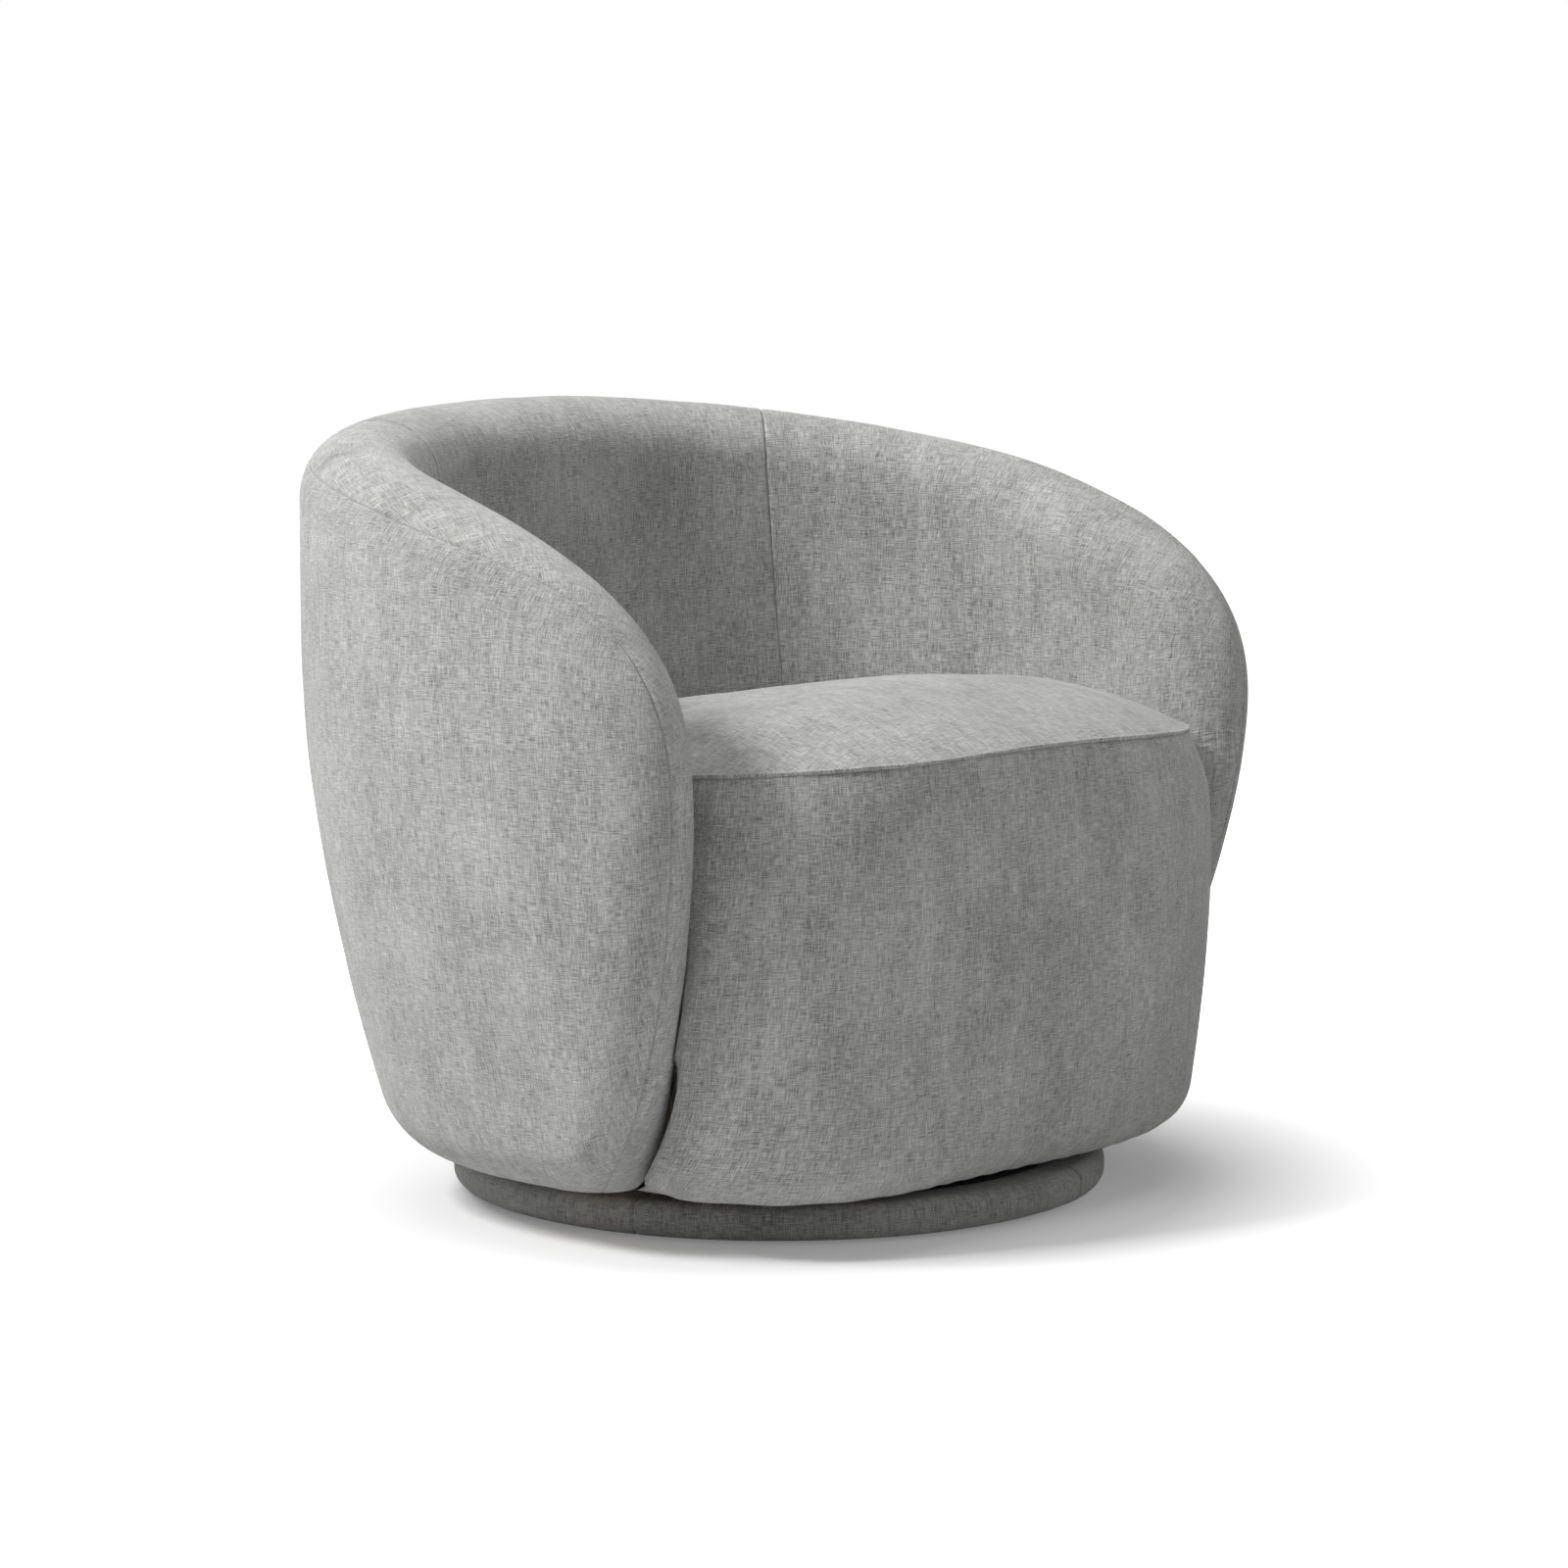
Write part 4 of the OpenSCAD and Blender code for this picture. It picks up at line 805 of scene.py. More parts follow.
MAKERS = {
    CLOTH: (cloth_finish, "heathered_cloth"),
    # The plinth's cloth is the upholstery cloth at 0.8 of its tones: painted shade for the plinth under the
    # chair's body
    PLINTH_SHADED_CLOTH: (cloth_finish, "plinth_heathered_cloth", 0.8),
    FOAM: (foam_finish, "cut_foam"),
    FELT: (felt_finish, "pressed_felt", (0.2, 0.19, 0.17), (0.42, 0.4, 0.36)),
    DUST: (felt_finish, "spunbond_cloth", (0.012, 0.012, 0.013), (0.03, 0.03, 0.033)),
    PLYWOOD: (wood_finish, "birch_plywood", (0.66, 0.47, 0.27), (0.5, 0.32, 0.16)),
    # Near-black plywood for the plinth's deck: painted shade for the dark gap between the plinth and the
    # chair's body
    DECK_SHADE_PLYWOOD: (wood_finish, "black_stained_plywood", (0.024, 0.023, 0.022), (0.012, 0.011, 0.01)),
    FIBREBOARD: (fibre_finish, "bent_fibreboard"),
    PLATE_STEEL: (metal_finish, "pressed_steel", (0.52, 0.53, 0.54), 0.34, 0.25),
    ZINC_STEEL: (metal_finish, "zinc_plate", (0.66, 0.67, 0.68), 0.28, 0.2),
    DARK_STEEL: (metal_finish, "blackened_steel", (0.2, 0.2, 0.21), 0.38, 0.3),
    NYLON: (nylon_finish, "moulded_nylon"),
    THREAD: (thread_finish, "sewing_thread"),
}
FINISHES = {}


def finish(name):
    """The finish of a material slot, built once."""
    if name not in FINISHES:
        maker, *values = MAKERS[name]
        FINISHES[name] = maker(*values)
    return FINISHES[name]


def fit(piece, body, slot, *nodes):
    """Gives a finished piece its finish and its body, and hides the CAD nodes that it stands for."""
    if not piece.data.materials:
        piece.data.materials.append(finish(slot))
    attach(piece, body)
    if nodes:
        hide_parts(*nodes)
    return piece


# Repeated pieces


def input_of(group, name):
    """Identifier of a node group's input."""
    return next(i.identifier for i in group.interface.items_tree
                if i.item_type == "SOCKET" and i.in_out == "INPUT" and i.name == name)


def spaced_tree():
    """Copies of a small item along a path, at even distances, turned with the path and its surface."""
    name = "Spaced along a path"
    if name in bpy.data.node_groups:
        return bpy.data.node_groups[name]
    g = bpy.data.node_groups.new(name, "GeometryNodeTree")
    face = g.interface
    kinds = {"Path": "Geometry", "Item": "Object", "Distance": "Float", "Finish": "Material"}
    for label, kind in kinds.items():
        face.new_socket(label, in_out="INPUT", socket_type="NodeSocket" + kind)
    face.new_socket("Pieces", in_out="OUTPUT", socket_type="NodeSocketGeometry")
    n = Nodes(g)
    path, item, distance, paint = (n.node("NodeGroupInput", {}, {}, x)
                                   for x in ("Path", "Item", "Distance", "Finish"))
    curve = n.node("GeometryNodeMeshToCurve", {}, {0: path})
    even = n.node("GeometryNodeResampleCurve", {"mode": "LENGTH"}, {"Curve": curve, "Length": distance})
    tangent = n.node("GeometryNodeInputTangent", {}, {})
    up = n.node("GeometryNodeInputNamedAttribute", {"data_type": "FLOAT_VECTOR"}, {"Name": "up"}, "Attribute")
    align = "FunctionNodeAlignRotationToVector"
    first = n.node(align, {"axis": "X"}, {"Vector": tangent})
    second = n.node(align, {"axis": "Z", "pivot_axis": "X"}, {"Rotation": first, "Vector": up})
    shape = n.node("GeometryNodeObjectInfo", {}, {"Object": item}, "Geometry")
    places = n.node("GeometryNodeInstanceOnPoints", {},
                    {"Points": even, "Instance": shape, "Rotation": second})
    real = n.node("GeometryNodeRealizeInstances", {}, {0: places})
    painted = n.node("GeometryNodeSetMaterial", {}, {"Geometry": real, "Material": paint})
    n.node("NodeGroupOutput", {}, {0: painted})
    return g


def spaced(name, paths, item, distance, slot):
    """Items at even distances along paths, as one plain mesh. A path is (points, up directions)."""
    points = np.concatenate([p for p, _ in paths])
    ups = np.concatenate([u for _, u in paths])
    edges, start = [], 0
    for p, _ in paths:
        edges += [(start + i, start + i + 1) for i in range(len(p) - 1)]
        start += len(p)
    mesh = bpy.data.meshes.new(name + "_path")
    mesh.from_pydata([tuple(p) for p in points], edges, [])
    way = mesh.attributes.new("up", "FLOAT_VECTOR", "POINT")
    way.data.foreach_set("vector", ups.astype(np.float32).ravel())
    carrier = linked(name + "_path", mesh)
    tree = spaced_tree()
    modifier = carrier.modifiers.new("Spaced", "NODES")
    modifier.node_group = tree
    modifier[input_of(tree, "Item")] = item
    modifier[input_of(tree, "Distance")] = distance
    modifier[input_of(tree, "Finish")] = finish(slot)
    seen = carrier.evaluated_get(bpy.context.evaluated_depsgraph_get())
    made = linked(name, bpy.data.meshes.new_from_object(seen))
    made.data.name = name
    made.data.shade_smooth()
    bpy.data.objects.remove(carrier)
    bpy.data.objects.remove(item)
    return made


def tube(name, path, radius, sides=6):
    """A small rod along a path of points in the plane of X and Z."""
    p = np.array(path, float)
    across = np.array((0, 1, 0))
    t = np.linspace(0, 2 * math.pi, sides, endpoint=False)[:, None]
    rings = []
    for i in range(len(p)):
        d = p[min(i + 1, len(p) - 1)] - p[max(i - 1, 0)]
        d /= np.linalg.norm(d)
        rings.append(p[i] + radius * (np.cos(t) * across + np.sin(t) * np.cross(d, across)))
    points = np.concatenate(rings)
    faces = grid_faces(len(p), sides, True)
    faces += [tuple(range(sides - 1, -1, -1)), tuple(len(points) - sides + i for i in range(sides))]
    return new_object(name, points, outward(points, faces))


STITCH_SHARE, STITCH_R, STITCH_RISE, STITCH_END, STITCH_MIDDLE = 0.36, 0.00028, 0.0001, -0.0004, 0.0003


def stitch_item():
    """One stitch: it dips into the cloth at both ends."""
    half = chair().cloth.stitch * STITCH_SHARE
    path = [(-half, 0, STITCH_END), (-half * 0.8, 0, STITCH_RISE), (0, 0, STITCH_MIDDLE),
            (half * 0.8, 0, STITCH_RISE), (half, 0, STITCH_END)]
    return tube("stitch_item", path, STITCH_R)


# Half lengths and heights of a staple's leg, bend and crown
STAPLE, STAPLE_R = ((0.0055, -0.0012), (0.0053, 0.0002), (0.0047, 0.0005)), 0.00045


def staple_item():
    """One staple: its crown lies on the cloth and its legs go in."""
    path = [(-x, 0, z) for x, z in STAPLE] + [(x, 0, z) for x, z in STAPLE[::-1]]
    return tube("staple_item", path, STAPLE_R)


# Covers of the shell

UNDER_ROWS, OUTSIDE_ROWS, INSIDE_ROWS = 5, 62, 40
# Hem of the outside cover under the foot, and how much shorter than the wall it is at the arm ends
UNDER_HEM, UNDER_SHORT = 0.02, 0.022
# Share of the foot's rounding that the hem's map passes over, and how far the inner foot ends above the outer
HEM_TURN, INNER_ROOM = 0.4, 0.001
# Between which places along the rim the shoulder seam changes its height
SHOULDER_BACK, SHOULDER_ARM = (0.52, 0.81), (1.45, 2.0)
# Length on the cloth for each length of the wall as it is unrolled
OUTSIDE_STRETCH, INSIDE_STRETCH = 1.28, 0.97
SHOULDER_CREASE = 0.65


def shoulder(k):
    """The shoulder seam's place round the rim at each station."""
    s = chair().shell
    near, far = (smooth((abs(k) - low) / (high - low)) for low, high in (SHOULDER_BACK, SHOULDER_ARM))
    to_arm, to_foot = s.shoulder_arm - s.shoulder_back, s.shoulder_foot - s.shoulder_arm
    return s.shoulder_back + to_arm * near + to_foot * far


def rim_angles(k, end, step=5.5):
    """Rows of angles round the rim from the shoulder seam to an end, closer together beside the seam."""
    half = chair().shell.wall_t / 2
    reach = abs(end - chair().shell.shoulder_arm)
    away = seam_spacing(reach * half, math.radians(step) * half, True, False) / half / reach
    seam = shoulder(k)
    return seam + (end - seam) * away[:, None]


def inside_seam(inset):
    """Station of the inside seam on a row drawn in by inset, which keeps the seam straight."""
    s = chair().shell
    return np.arcsin((s.seam_u / (s.nose_angle * s.unroll_r - inset)) ** (s.across_power / 2)) / (math.pi / 2)


def slid(k, inset):
    """Stations moved along a row so that the inside seams run straight down the wall."""
    seam, here, reach = inside_seam(0.0), inside_seam(inset), abs(k)
    return np.sign(k) * np.where(reach < seam, reach * here / seam, 2 - (2 - reach) * (2 - here) / (2 - seam))


# Where the arm ends start along the rim, and how soon they are full
END_PLACE, END_REACH = 1.7, 0.25


def arm_end(k):
    """1 at the ends of the arms, 0 away from them."""
    return smooth((abs(k) - END_PLACE) / END_REACH)


def inner_foot(k):
    """Height of the wall's inner foot: on the rail, and down to the underside at the arm ends."""
    s = chair().shell
    return s.rail_z + (s.body_z + INNER_ROOM - s.rail_z) * arm_end(k)


def shell_rows(k, depth, outside):
    """Rows of one cover of the wall at a depth below its surface, with their unrolled places."""
    s = chair().shell
    low_out, low_in = s.body_z + depth, inner_foot(k) + depth
    half = s.wall_t / 2 - depth
    rows = []
    if outside:
        hem = UNDER_HEM + (s.wall_t - s.round_w - UNDER_SHORT) * arm_end(k)
        for t in np.linspace(1, 0, UNDER_ROWS)[:-1]:
            p, at = sheet_points(k, depth + half, low_out, 0.0, depth + hem * t, s.round_w, s.round_h)
            rows.append((p, at - np.stack([0 * k, (s.round_w * HEM_TURN + hem) * t], -1)))
        for share in foot_shares(OUTSIDE_ROWS)[:-1]:
            rows.append(sheet_points(k, depth + half, low_out, share, depth, s.round_w, s.round_h))
        for angle in rim_angles(k, math.pi / 2)[::-1]:
            rows.append(rim_points(k, angle, depth, depth, depth, low_out, low_in))
    else:
        for angle in rim_angles(k, -math.pi / 2):
            here = slid(k, half * (1 - np.cos(angle)))
            rows.append(rim_points(here, angle, depth, depth, depth, low_out, low_in))
        for share in np.linspace(1, 0, INSIDE_ROWS)[1:]:
            rows.append(sheet_points(slid(k, half), depth + half, low_in, share, s.wall_t - depth, 0.0,
                                     s.round_h, INSIDE_FAN))
    return np.array([p for p, _ in rows]), np.array([at for _, at in rows])


# A point inside the rim's outline lies this far below the height of the arm ends
MIDDLE_LOWER = 0.1


def unrolled(points, places, rim_rows, edge_row):
    """The weave's map: the wall unrolled flat, with the rim's rows laid out square to its edge."""
    uv = places.copy()
    u, z = places[edge_row, :, 0], places[edge_row, :, 1]
    du, dz = np.gradient(u), np.gradient(z)
    step = np.maximum(np.hypot(du, dz), 1e-9)
    normal = np.stack([dz / step, -du / step], -1)
    middle = np.array([0.0, chair().shell.nose_z - MIDDLE_LOWER])
    sign = np.sign((normal * (places[edge_row] - middle)).sum(-1))
    normal *= np.where(sign == 0, 1, sign)[:, None]
    reach = lengths(points, 0)
    for r in rim_rows:
        uv[r] = places[edge_row] + normal * abs(reach[r] - reach[edge_row])[:, None]
    return uv


def shell_cover(name, k, outside, seam_first, seam_last, shift):
    """One cover of the wall, with the shift of its weave.

    seam_first and seam_last say whether its first and last column lie on a seam.
    """
    c = chair().cloth
    outer, places = shell_rows(k, 0.0, outside)
    inner, _ = shell_rows(k, c.thickness, outside)
    rows = len(outer)
    if outside:
        edge = rows - len(rim_angles(k, math.pi / 2))
        rim_rows, stretch = range(edge + 1, rows), OUTSIDE_STRETCH
    else:
        edge = len(rim_angles(k, -math.pi / 2)) - 1
        rim_rows, stretch = range(edge), INSIDE_STRETCH
    uv = unrolled(outer, places, rim_rows, edge) * np.array([stretch, 1.0]) + np.array(shift)
    down, across = lengths(outer, 0), lengths(outer, 1)
    from_rim, along = (down[-1:] - down, across[-1:]) if outside else (down, across[:1])
    depth = crease(from_rim, np.broadcast_to(along, from_rim.shape)) * SHOULDER_CREASE
    for there, gap in ((seam_first, across), (seam_last, across[:, -1:] - across)):
        if there:
            depth = depth + crease(gap, down)
    outer, inner = pressed(outer, inner, depth + unevenness(outer))
    return slab(name, outer, inner, uv), outer, inner


# Paths that the covers leave for their stitches and staples
PATHS = {}
THREAD_UP = 0.0002


def seam_line(outer, inner):
    """A seam's path, just above the bottom of its crease, with its directions away from the foam."""
    up = (outer - inner) / np.linalg.norm(outer - inner, axis=-1, keepdims=True)
    return outer + up * THREAD_UP, up


def hem_line(points):
    """A hem's path under the chair, with its directions down."""
    return points, np.tile((0.0, 0.0, -1.0), (len(points), 1))


def cloth_area(grid):
    """Area of a cloth's grid of points."""
    a, b = grid[1:, 1:] - grid[:-1, :-1], grid[1:, :-1] - grid[:-1, 1:]
    return float(np.linalg.norm(np.cross(a, b), axis=-1).sum() / 2)


class CLUBCHAIR_OT_outside_cover(bpy.types.Operator):
    """Cloth from the shoulder seam down the outside of the shell and under its foot"""
    bl_idname = "club_chair.outside_cover"
    bl_label = "Outside cover"

    def execute(self, context):
        k = rim_places(-2, 2, chair().cloth.grid)
        cover, outer, inner = shell_cover("outside_cover_cloth", k, True, False, False, (0, 0))
        fit(cover, "chair", CLOTH, "outside_cover")
        cloth_area(outer)
        PATHS["shoulder"] = seam_line(outer[-1], inner[-1])
        PATHS["hem"] = hem_line(outer[1, ::4])
        return {"FINISHED"}


class CLUBCHAIR_OT_inside_covers(bpy.types.Operator):
    """Cloth of the inside back and the inside arms, up over the rim to the shoulder seam"""
    bl_idname = "club_chair.inside_covers"
    bl_label = "Inside covers"

    def execute(self, context):
        seam, step = float(inside_seam(0.0)), chair().cloth.grid
        pieces = (("inside_back_cloth", "inside_back_cover", -seam, seam, True, True, (0.9, 0.72), (3, 0)),
                  ("left_arm_cloth", "left_arm_cover", -2, -seam, False, True, (0.95, 0.75), (5, 2)),
                  ("right_arm_cloth", "right_arm_cover", seam, 2, True, False, (0.95, 0.75), (7, 4)))
        for name, node, low, high, first, last, flat, shift in pieces:
            k = rim_places(low, high, step, first, last)
            cover, outer, inner = shell_cover(name, k, False, first, last, shift)
            fit(cover, "chair", CLOTH, node)
            min(cloth_area(outer), flat[0] * flat[1])
            if first and last:
                PATHS["inside_left"] = seam_line(outer[:, 0], inner[:, 0])
                PATHS["inside_right"] = seam_line(outer[:, -1], inner[:, -1])
        return {"FINISHED"}


# Foam outside, inside and over the rim of the frame, and the rounding of the frame's foot
OUTER_FOAM, INNER_FOAM, RIM_FOAM = 0.018, 0.036, 0.028
FRAME_ROUND_W, FRAME_ROUND_H = 0.035, 0.073
UNDER_COVER, PAD_STEP, PAD_ROWS = 0.002, 0.02, 22


class CLUBCHAIR_OT_shell_padding(bpy.types.Operator):
    """Foam over the back, the arms and the rim, under the covers"""
    bl_idname = "club_chair.shell_padding"
    bl_label = "Shell padding"

    def execute(self, context):
        s = chair().shell
        k = rim_places(-2, 2, PAD_STEP)
        skin = chair().cloth.thickness + UNDER_COVER
        angles = np.radians(np.arange(90, -91, -10))

        def rows(out, into, edge, low, low_in, w, h):
            half = (s.wall_t - out - into) / 2
            made = [sheet_points(k, edge + half, low, f, out, w, h)[0] for f in foot_shares(PAD_ROWS)[:-1]]
            made += [rim_points(k, a, out, into, edge, low, low_in)[0] for a in angles]
            made += [sheet_points(k, edge + half, low_in, f, s.wall_t - into, 0.0, h)[0]
                     for f in np.linspace(1, 0, 16)[1:]]
            return np.array(made)

        foot = inner_foot(k) + skin
        outer = rows(skin, skin, skin, s.body_z + skin, foot, s.round_w, s.round_h)
        inner = rows(OUTER_FOAM, INNER_FOAM, RIM_FOAM, s.rail_z - OUTER_FOAM, foot, FRAME_ROUND_W,
                     FRAME_ROUND_H)
        pad = fit(slab("shell_padding", outer, inner), "chair", FOAM, "shell_foam")
        return {"FINISHED"}


# Seat

# Where the tucked sides end and the sewn front starts, and where the front cover's corners are pulled up
SIDE_END, FRONT_START = math.radians(99), math.radians(105)
CORNER_END, CORNER_START = math.radians(116.5), math.radians(126)
# The further pull at the front cover's ends, and the angles that it starts from and is full after
END_LIFT, END_START, END_WIDTH = 0.016, math.radians(114), math.radians(6)
# Cloth tucked down at the sides and left at the front
SIDE_TUCK, SEAM_TUCK, TUCK_ROWS = 0.07, 0.0012, 4
CROWN_REACH, CROWN_STEP = 0.34, 0.011
# The simulation's air pressure behind the two cloths, and how much lower the seat's starts
SEAT_PRESSURE, FRONT_PRESSURE = 0.7, 6
START_LOWER, LOWER_WIDTH = 0.002, 0.1
# The front cover's turn into its seam, its hem under the board and the ripples of its hem
TURN_IN, TURN_W = 0.0034, 0.006
FRONT_HEM, FRONT_HEM_START = 0.016, 0.005
RIPPLES, RIPPLE_DRIFT = 57, 7
FRONT_ROWS, SEAM_MARGIN = 40, 0.02


def seat_angles():
    """Angles of the seat's columns."""
    return np.radians(np.arange(-180, 180, 1.5))


def front_angles():
    """Angles of the front panel's columns."""
    return np.radians(np.linspace(105, 255, 161))


class CLUBCHAIR_OT_seat_top(bpy.types.Operator):
    """Crowned cloth of the seat's top, sewn to the front panel and tucked in at the sides and the back"""
    bl_idname = "club_chair.seat_top"
    bl_label = "Seat top cover"

    def execute(self, context):
        s, e, c = chair().shell, chair().seat, chair().cloth
        a = seat_angles()
        fold = folded(a)
        tuck = SIDE_TUCK * clamp_share((FRONT_START - fold) / (FRONT_START - SIDE_END)) + SEAM_TUCK

        def rows(depth):
            tucked = np.linspace(1, 0, TUCK_ROWS + 1)[:-1]
            shares = 1 - seam_spacing(CROWN_REACH, CROWN_STEP, True, False)[:-1] / CROWN_REACH
            return np.array([seat_point(a, e.seam_z - tuck * t, depth, 1.0) for t in tucked]
                            + [crown_ring(a, q, depth) for q in shares])

        outer, inner = rows(0.0), rows(c.thickness)
        reach = lengths(outer, 0)
        d = reach - reach[TUCK_ROWS]
        front = clamp_share((fold - SIDE_END) / (FRONT_START - SIDE_END))
        along = lengths(outer[TUCK_ROWS:TUCK_ROWS + 1], 1)
        depth = rolled_edge(np.maximum(d, 0), np.broadcast_to(along, d.shape)) * front
        held = np.zeros(outer.shape[:2], bool)
        held[:TUCK_ROWS], held[TUCK_ROWS, front > 0.5] = True, True
        depth = depth + unevenness(outer, spread=6.0, offset=11.0)
        depth = depth - lifted(outer, inner, True, held, SEAT_PRESSURE, START_LOWER * smooth(d / LOWER_WIDTH))
        outer, inner = pressed(outer, inner, depth)
        shift = np.array([11, 3])
        tip = (crown_middle(0.0), crown_middle(c.thickness), np.array([0, s.plan_y]) + shift)
        cover = slab("seat_top_cloth", outer, inner, outer[..., :2] + shift, wrap=True, tip=tip)
        fit(cover, "chair", CLOTH, "seat_top_cover")
        cloth_area(outer)
        return {"FINISHED"}


def front_rows(depth, heights):
    """Rows of the front panel from under its foot up to the seam, at a depth below its cloth."""
    s, e = chair().shell, chair().seat
    a = front_angles()
    foot = np.full_like(a, s.body_z + depth)
    lift = e.corner_lift * (1 - smooth((folded(a) - CORNER_END) / (CORNER_START - CORNER_END)))
    lift = lift + END_LIFT * smooth((END_START - folded(a)) / END_WIDTH)
    low = foot + lift + e.hem_ripple * (1 + np.sin(RIPPLES * a + 2 * np.sin(RIPPLE_DRIFT * a))) / 2
    made = []
    for t in np.linspace(1, 0, UNDER_ROWS)[:-1]:
        made.append(seat_point(a, foot, depth + e.foot_round + FRONT_HEM_START + FRONT_HEM * t, 0.0))
    for f in heights:
        z = low + (e.seam_z - low) * f
        drop = clamp_share((z - e.waist_z) / (e.seam_z - e.waist_z)) ** 2
        made.append(seat_point(a, z, depth + edge_round(z - low, e.foot_round, e.foot_round), drop))
    return np.array(made)


class CLUBCHAIR_OT_front_cover(bpy.types.Operator):
    """Cloth of the curved front panel, from the seam down and under the board"""
    bl_idname = "club_chair.front_cover"
    bl_label = "Front cover"

    def execute(self, context):
        c = chair().cloth
        high = chair().seat.seam_z - chair().shell.body_z
        heights = [x for x in foot_shares(FRONT_ROWS) if x < 1 - SEAM_MARGIN / high]
        heights += list(1 - np.array(SEAM_STEPS)[::-1] / high)
        outer, inner = front_rows(0.0, heights), front_rows(c.thickness, heights)
        down = lengths(outer, 0)
        d = down[-1:] - down
        along = lengths(outer[-1:], 1)
        depth = crease(d, np.broadcast_to(along, d.shape)) + TURN_IN * np.exp(-d / TURN_W)
        held = np.zeros(outer.shape[:2], bool)
        held[:UNDER_ROWS], held[-1], held[:, :3], held[:, -3:] = True, True, True, True
        depth = depth + unevenness(outer, spread=6.0, offset=23.0)
        depth = depth - lifted(outer, inner, False, held, FRONT_PRESSURE, 0)
        outer, inner = pressed(outer, inner, depth)
        uv = np.stack([lengths(outer, 1).mean(0)[None, :].repeat(len(outer), 0), -d], -1) + np.array([15, 6])
        cover = slab("front_cloth", outer, inner, uv)
        fit(cover, "chair", CLOTH, "front_cover")
        min(0.48, cloth_area(outer))
        PATHS["front_hem"] = hem_line(outer[1, ::4])
        return {"FINISHED"}


# Room between the seat's foam and its cloth, over the edge roll and below the seam
SKIN_GAP, ROLL_GAP, SEAM_GAP = 0.0022, 0.0003, 0.006
# Height of the front foam as a share of the front cover's, and heights where the seat's skin is narrowest
FRONT_FOAM_SHARE, NARROW_HEIGHTS = 0.71, (0.066, 0.18, 0.28)


class CLUBCHAIR_OT_seat_padding(bpy.types.Operator):
    """The seat's crowned foam and the front panel's foam"""
    bl_idname = "club_chair.seat_padding"
    bl_label = "Seat padding"

    def execute(self, context):
        s, e, c = chair().shell, chair().seat, chair().cloth
        skin = c.thickness + SKIN_GAP
        a = seat_angles()
        foot = e.deck_z + e.roll_h + ROLL_GAP
        side_h = e.seam_z - SEAM_GAP - foot
        ring = [seat_point(a, np.full_like(a, foot + side_h * t), skin, t) for t in np.linspace(0, 1, 8)]
        rings = np.array(ring + [crown_ring(a, q, skin) for q in np.linspace(0.98, 0.02, 24)])
        n, cols = rings.shape[:2]
        points = np.concatenate([rings.reshape(-1, 3), [[0, s.plan_y, foot], crown_middle(skin)]])
        faces = grid_faces(n, cols, True)
        faces += [(n * cols, (i + 1) % cols, i) for i in range(cols)]
        faces += [(n * cols + 1, (n - 1) * cols + i, (n - 1) * cols + (i + 1) % cols) for i in range(cols)]
        pad = fit(new_object("seat_padding", points, outward(points, faces)), "chair", FOAM, "seat_foam")

        outer = front_rows(skin, foot_shares(16) * FRONT_FOAM_SHARE)[UNDER_ROWS - 1:]
        b = front_angles()
        levels = (s.body_z, *NARROW_HEIGHTS, foot)
        core = np.min([seat_reach(b, np.full_like(b, z), 0) for z in levels], 0) - e.pad_t
        inner = []
        for row in outer:
            w = swung(b, row[:, 2])
            inner.append(np.stack([core * np.sin(w), core * np.cos(w) + s.plan_y, row[:, 2]], -1))
        pad = fit(slab("front_padding", outer, np.array(inner)), "chair", FOAM, "front_foam")
        return {"FINISHED"}


def rounded_copy(name, node, width, body, slot):
    """A CAD node's own form with its doubles merged and its edges rounded."""
    mesh = frame["nodes"][node].data.copy()
    work = bmesh.new()
    work.from_mesh(mesh)
    bmesh.ops.remove_doubles(work, verts=work.verts, dist=1e-5)
    bmesh.ops.dissolve_limit(work, angle_limit=math.radians(1), verts=work.verts, edges=work.edges)
    work.to_mesh(mesh)
    work.free()
    mesh.materials.clear()
    made = linked(name, mesh)
    bevel = made.modifiers.new("Rounding", "BEVEL")
    bevel.width, bevel.segments, bevel.limit_method = width, 3, "ANGLE"
    bevel.angle_limit = math.radians(40)
    return fit(made, body, slot, node)


# The felt's grid, its dips between the springs and the flat edge round them
FELT_COLS, FELT_ROWS = 37, 49
SPRING_STEP, FELT_DIP, UNDER_DIP, FELT_EDGE = 0.058, 0.0011, 0.4, 0.02
FELT_UNDER = 0.0004


class CLUBCHAIR_OT_deck_padding(bpy.types.Operator):
    """Foam strip round the deck and the felt over the springs"""
    bl_idname = "club_chair.deck_padding"
    bl_label = "Deck padding"

    def execute(self, context):
        strip = rounded_copy("edge_roll_padding", "edge_roll", 0.004, "chair", FOAM)
        low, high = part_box("spring_felt")
        x, y = np.meshgrid(np.linspace(low.x, high.x, FELT_COLS), np.linspace(low.y, high.y, FELT_ROWS))
        edge = np.min([x - low.x, high.x - x, y - low.y, high.y - y], 0)
        dip = FELT_DIP * (0.5 - 0.5 * np.cos(2 * math.pi * x / SPRING_STEP)) * clamp_share(edge / FELT_EDGE)
        top = np.stack([x, y, high.z - dip], -1)
        under = np.stack([x, y, low.z - dip * UNDER_DIP + FELT_UNDER], -1)
        felt = fit(slab("spring_felt_pad", top, under), "chair", FELT, "spring_felt")
        return {"FINISHED"}


class CLUBCHAIR_OT_dust_cover(bpy.types.Operator):
    """Black non-woven cloth under the board, with the staples of the covers' hems"""
    bl_idname = "club_chair.dust_cover"
    bl_label = "Dust cover and staples"

    def execute(self, context):
        cloth = rounded_copy("underside_cloth", "dust_cover", 0.0002, "chair", DUST)
        staples = spaced("cover_staples", [PATHS["hem"], PATHS["front_hem"]], staple_item(),
                         chair().cloth.staple, ZINC_STEEL)
        fit(staples, "chair", ZINC_STEEL)
        return {"FINISHED"}


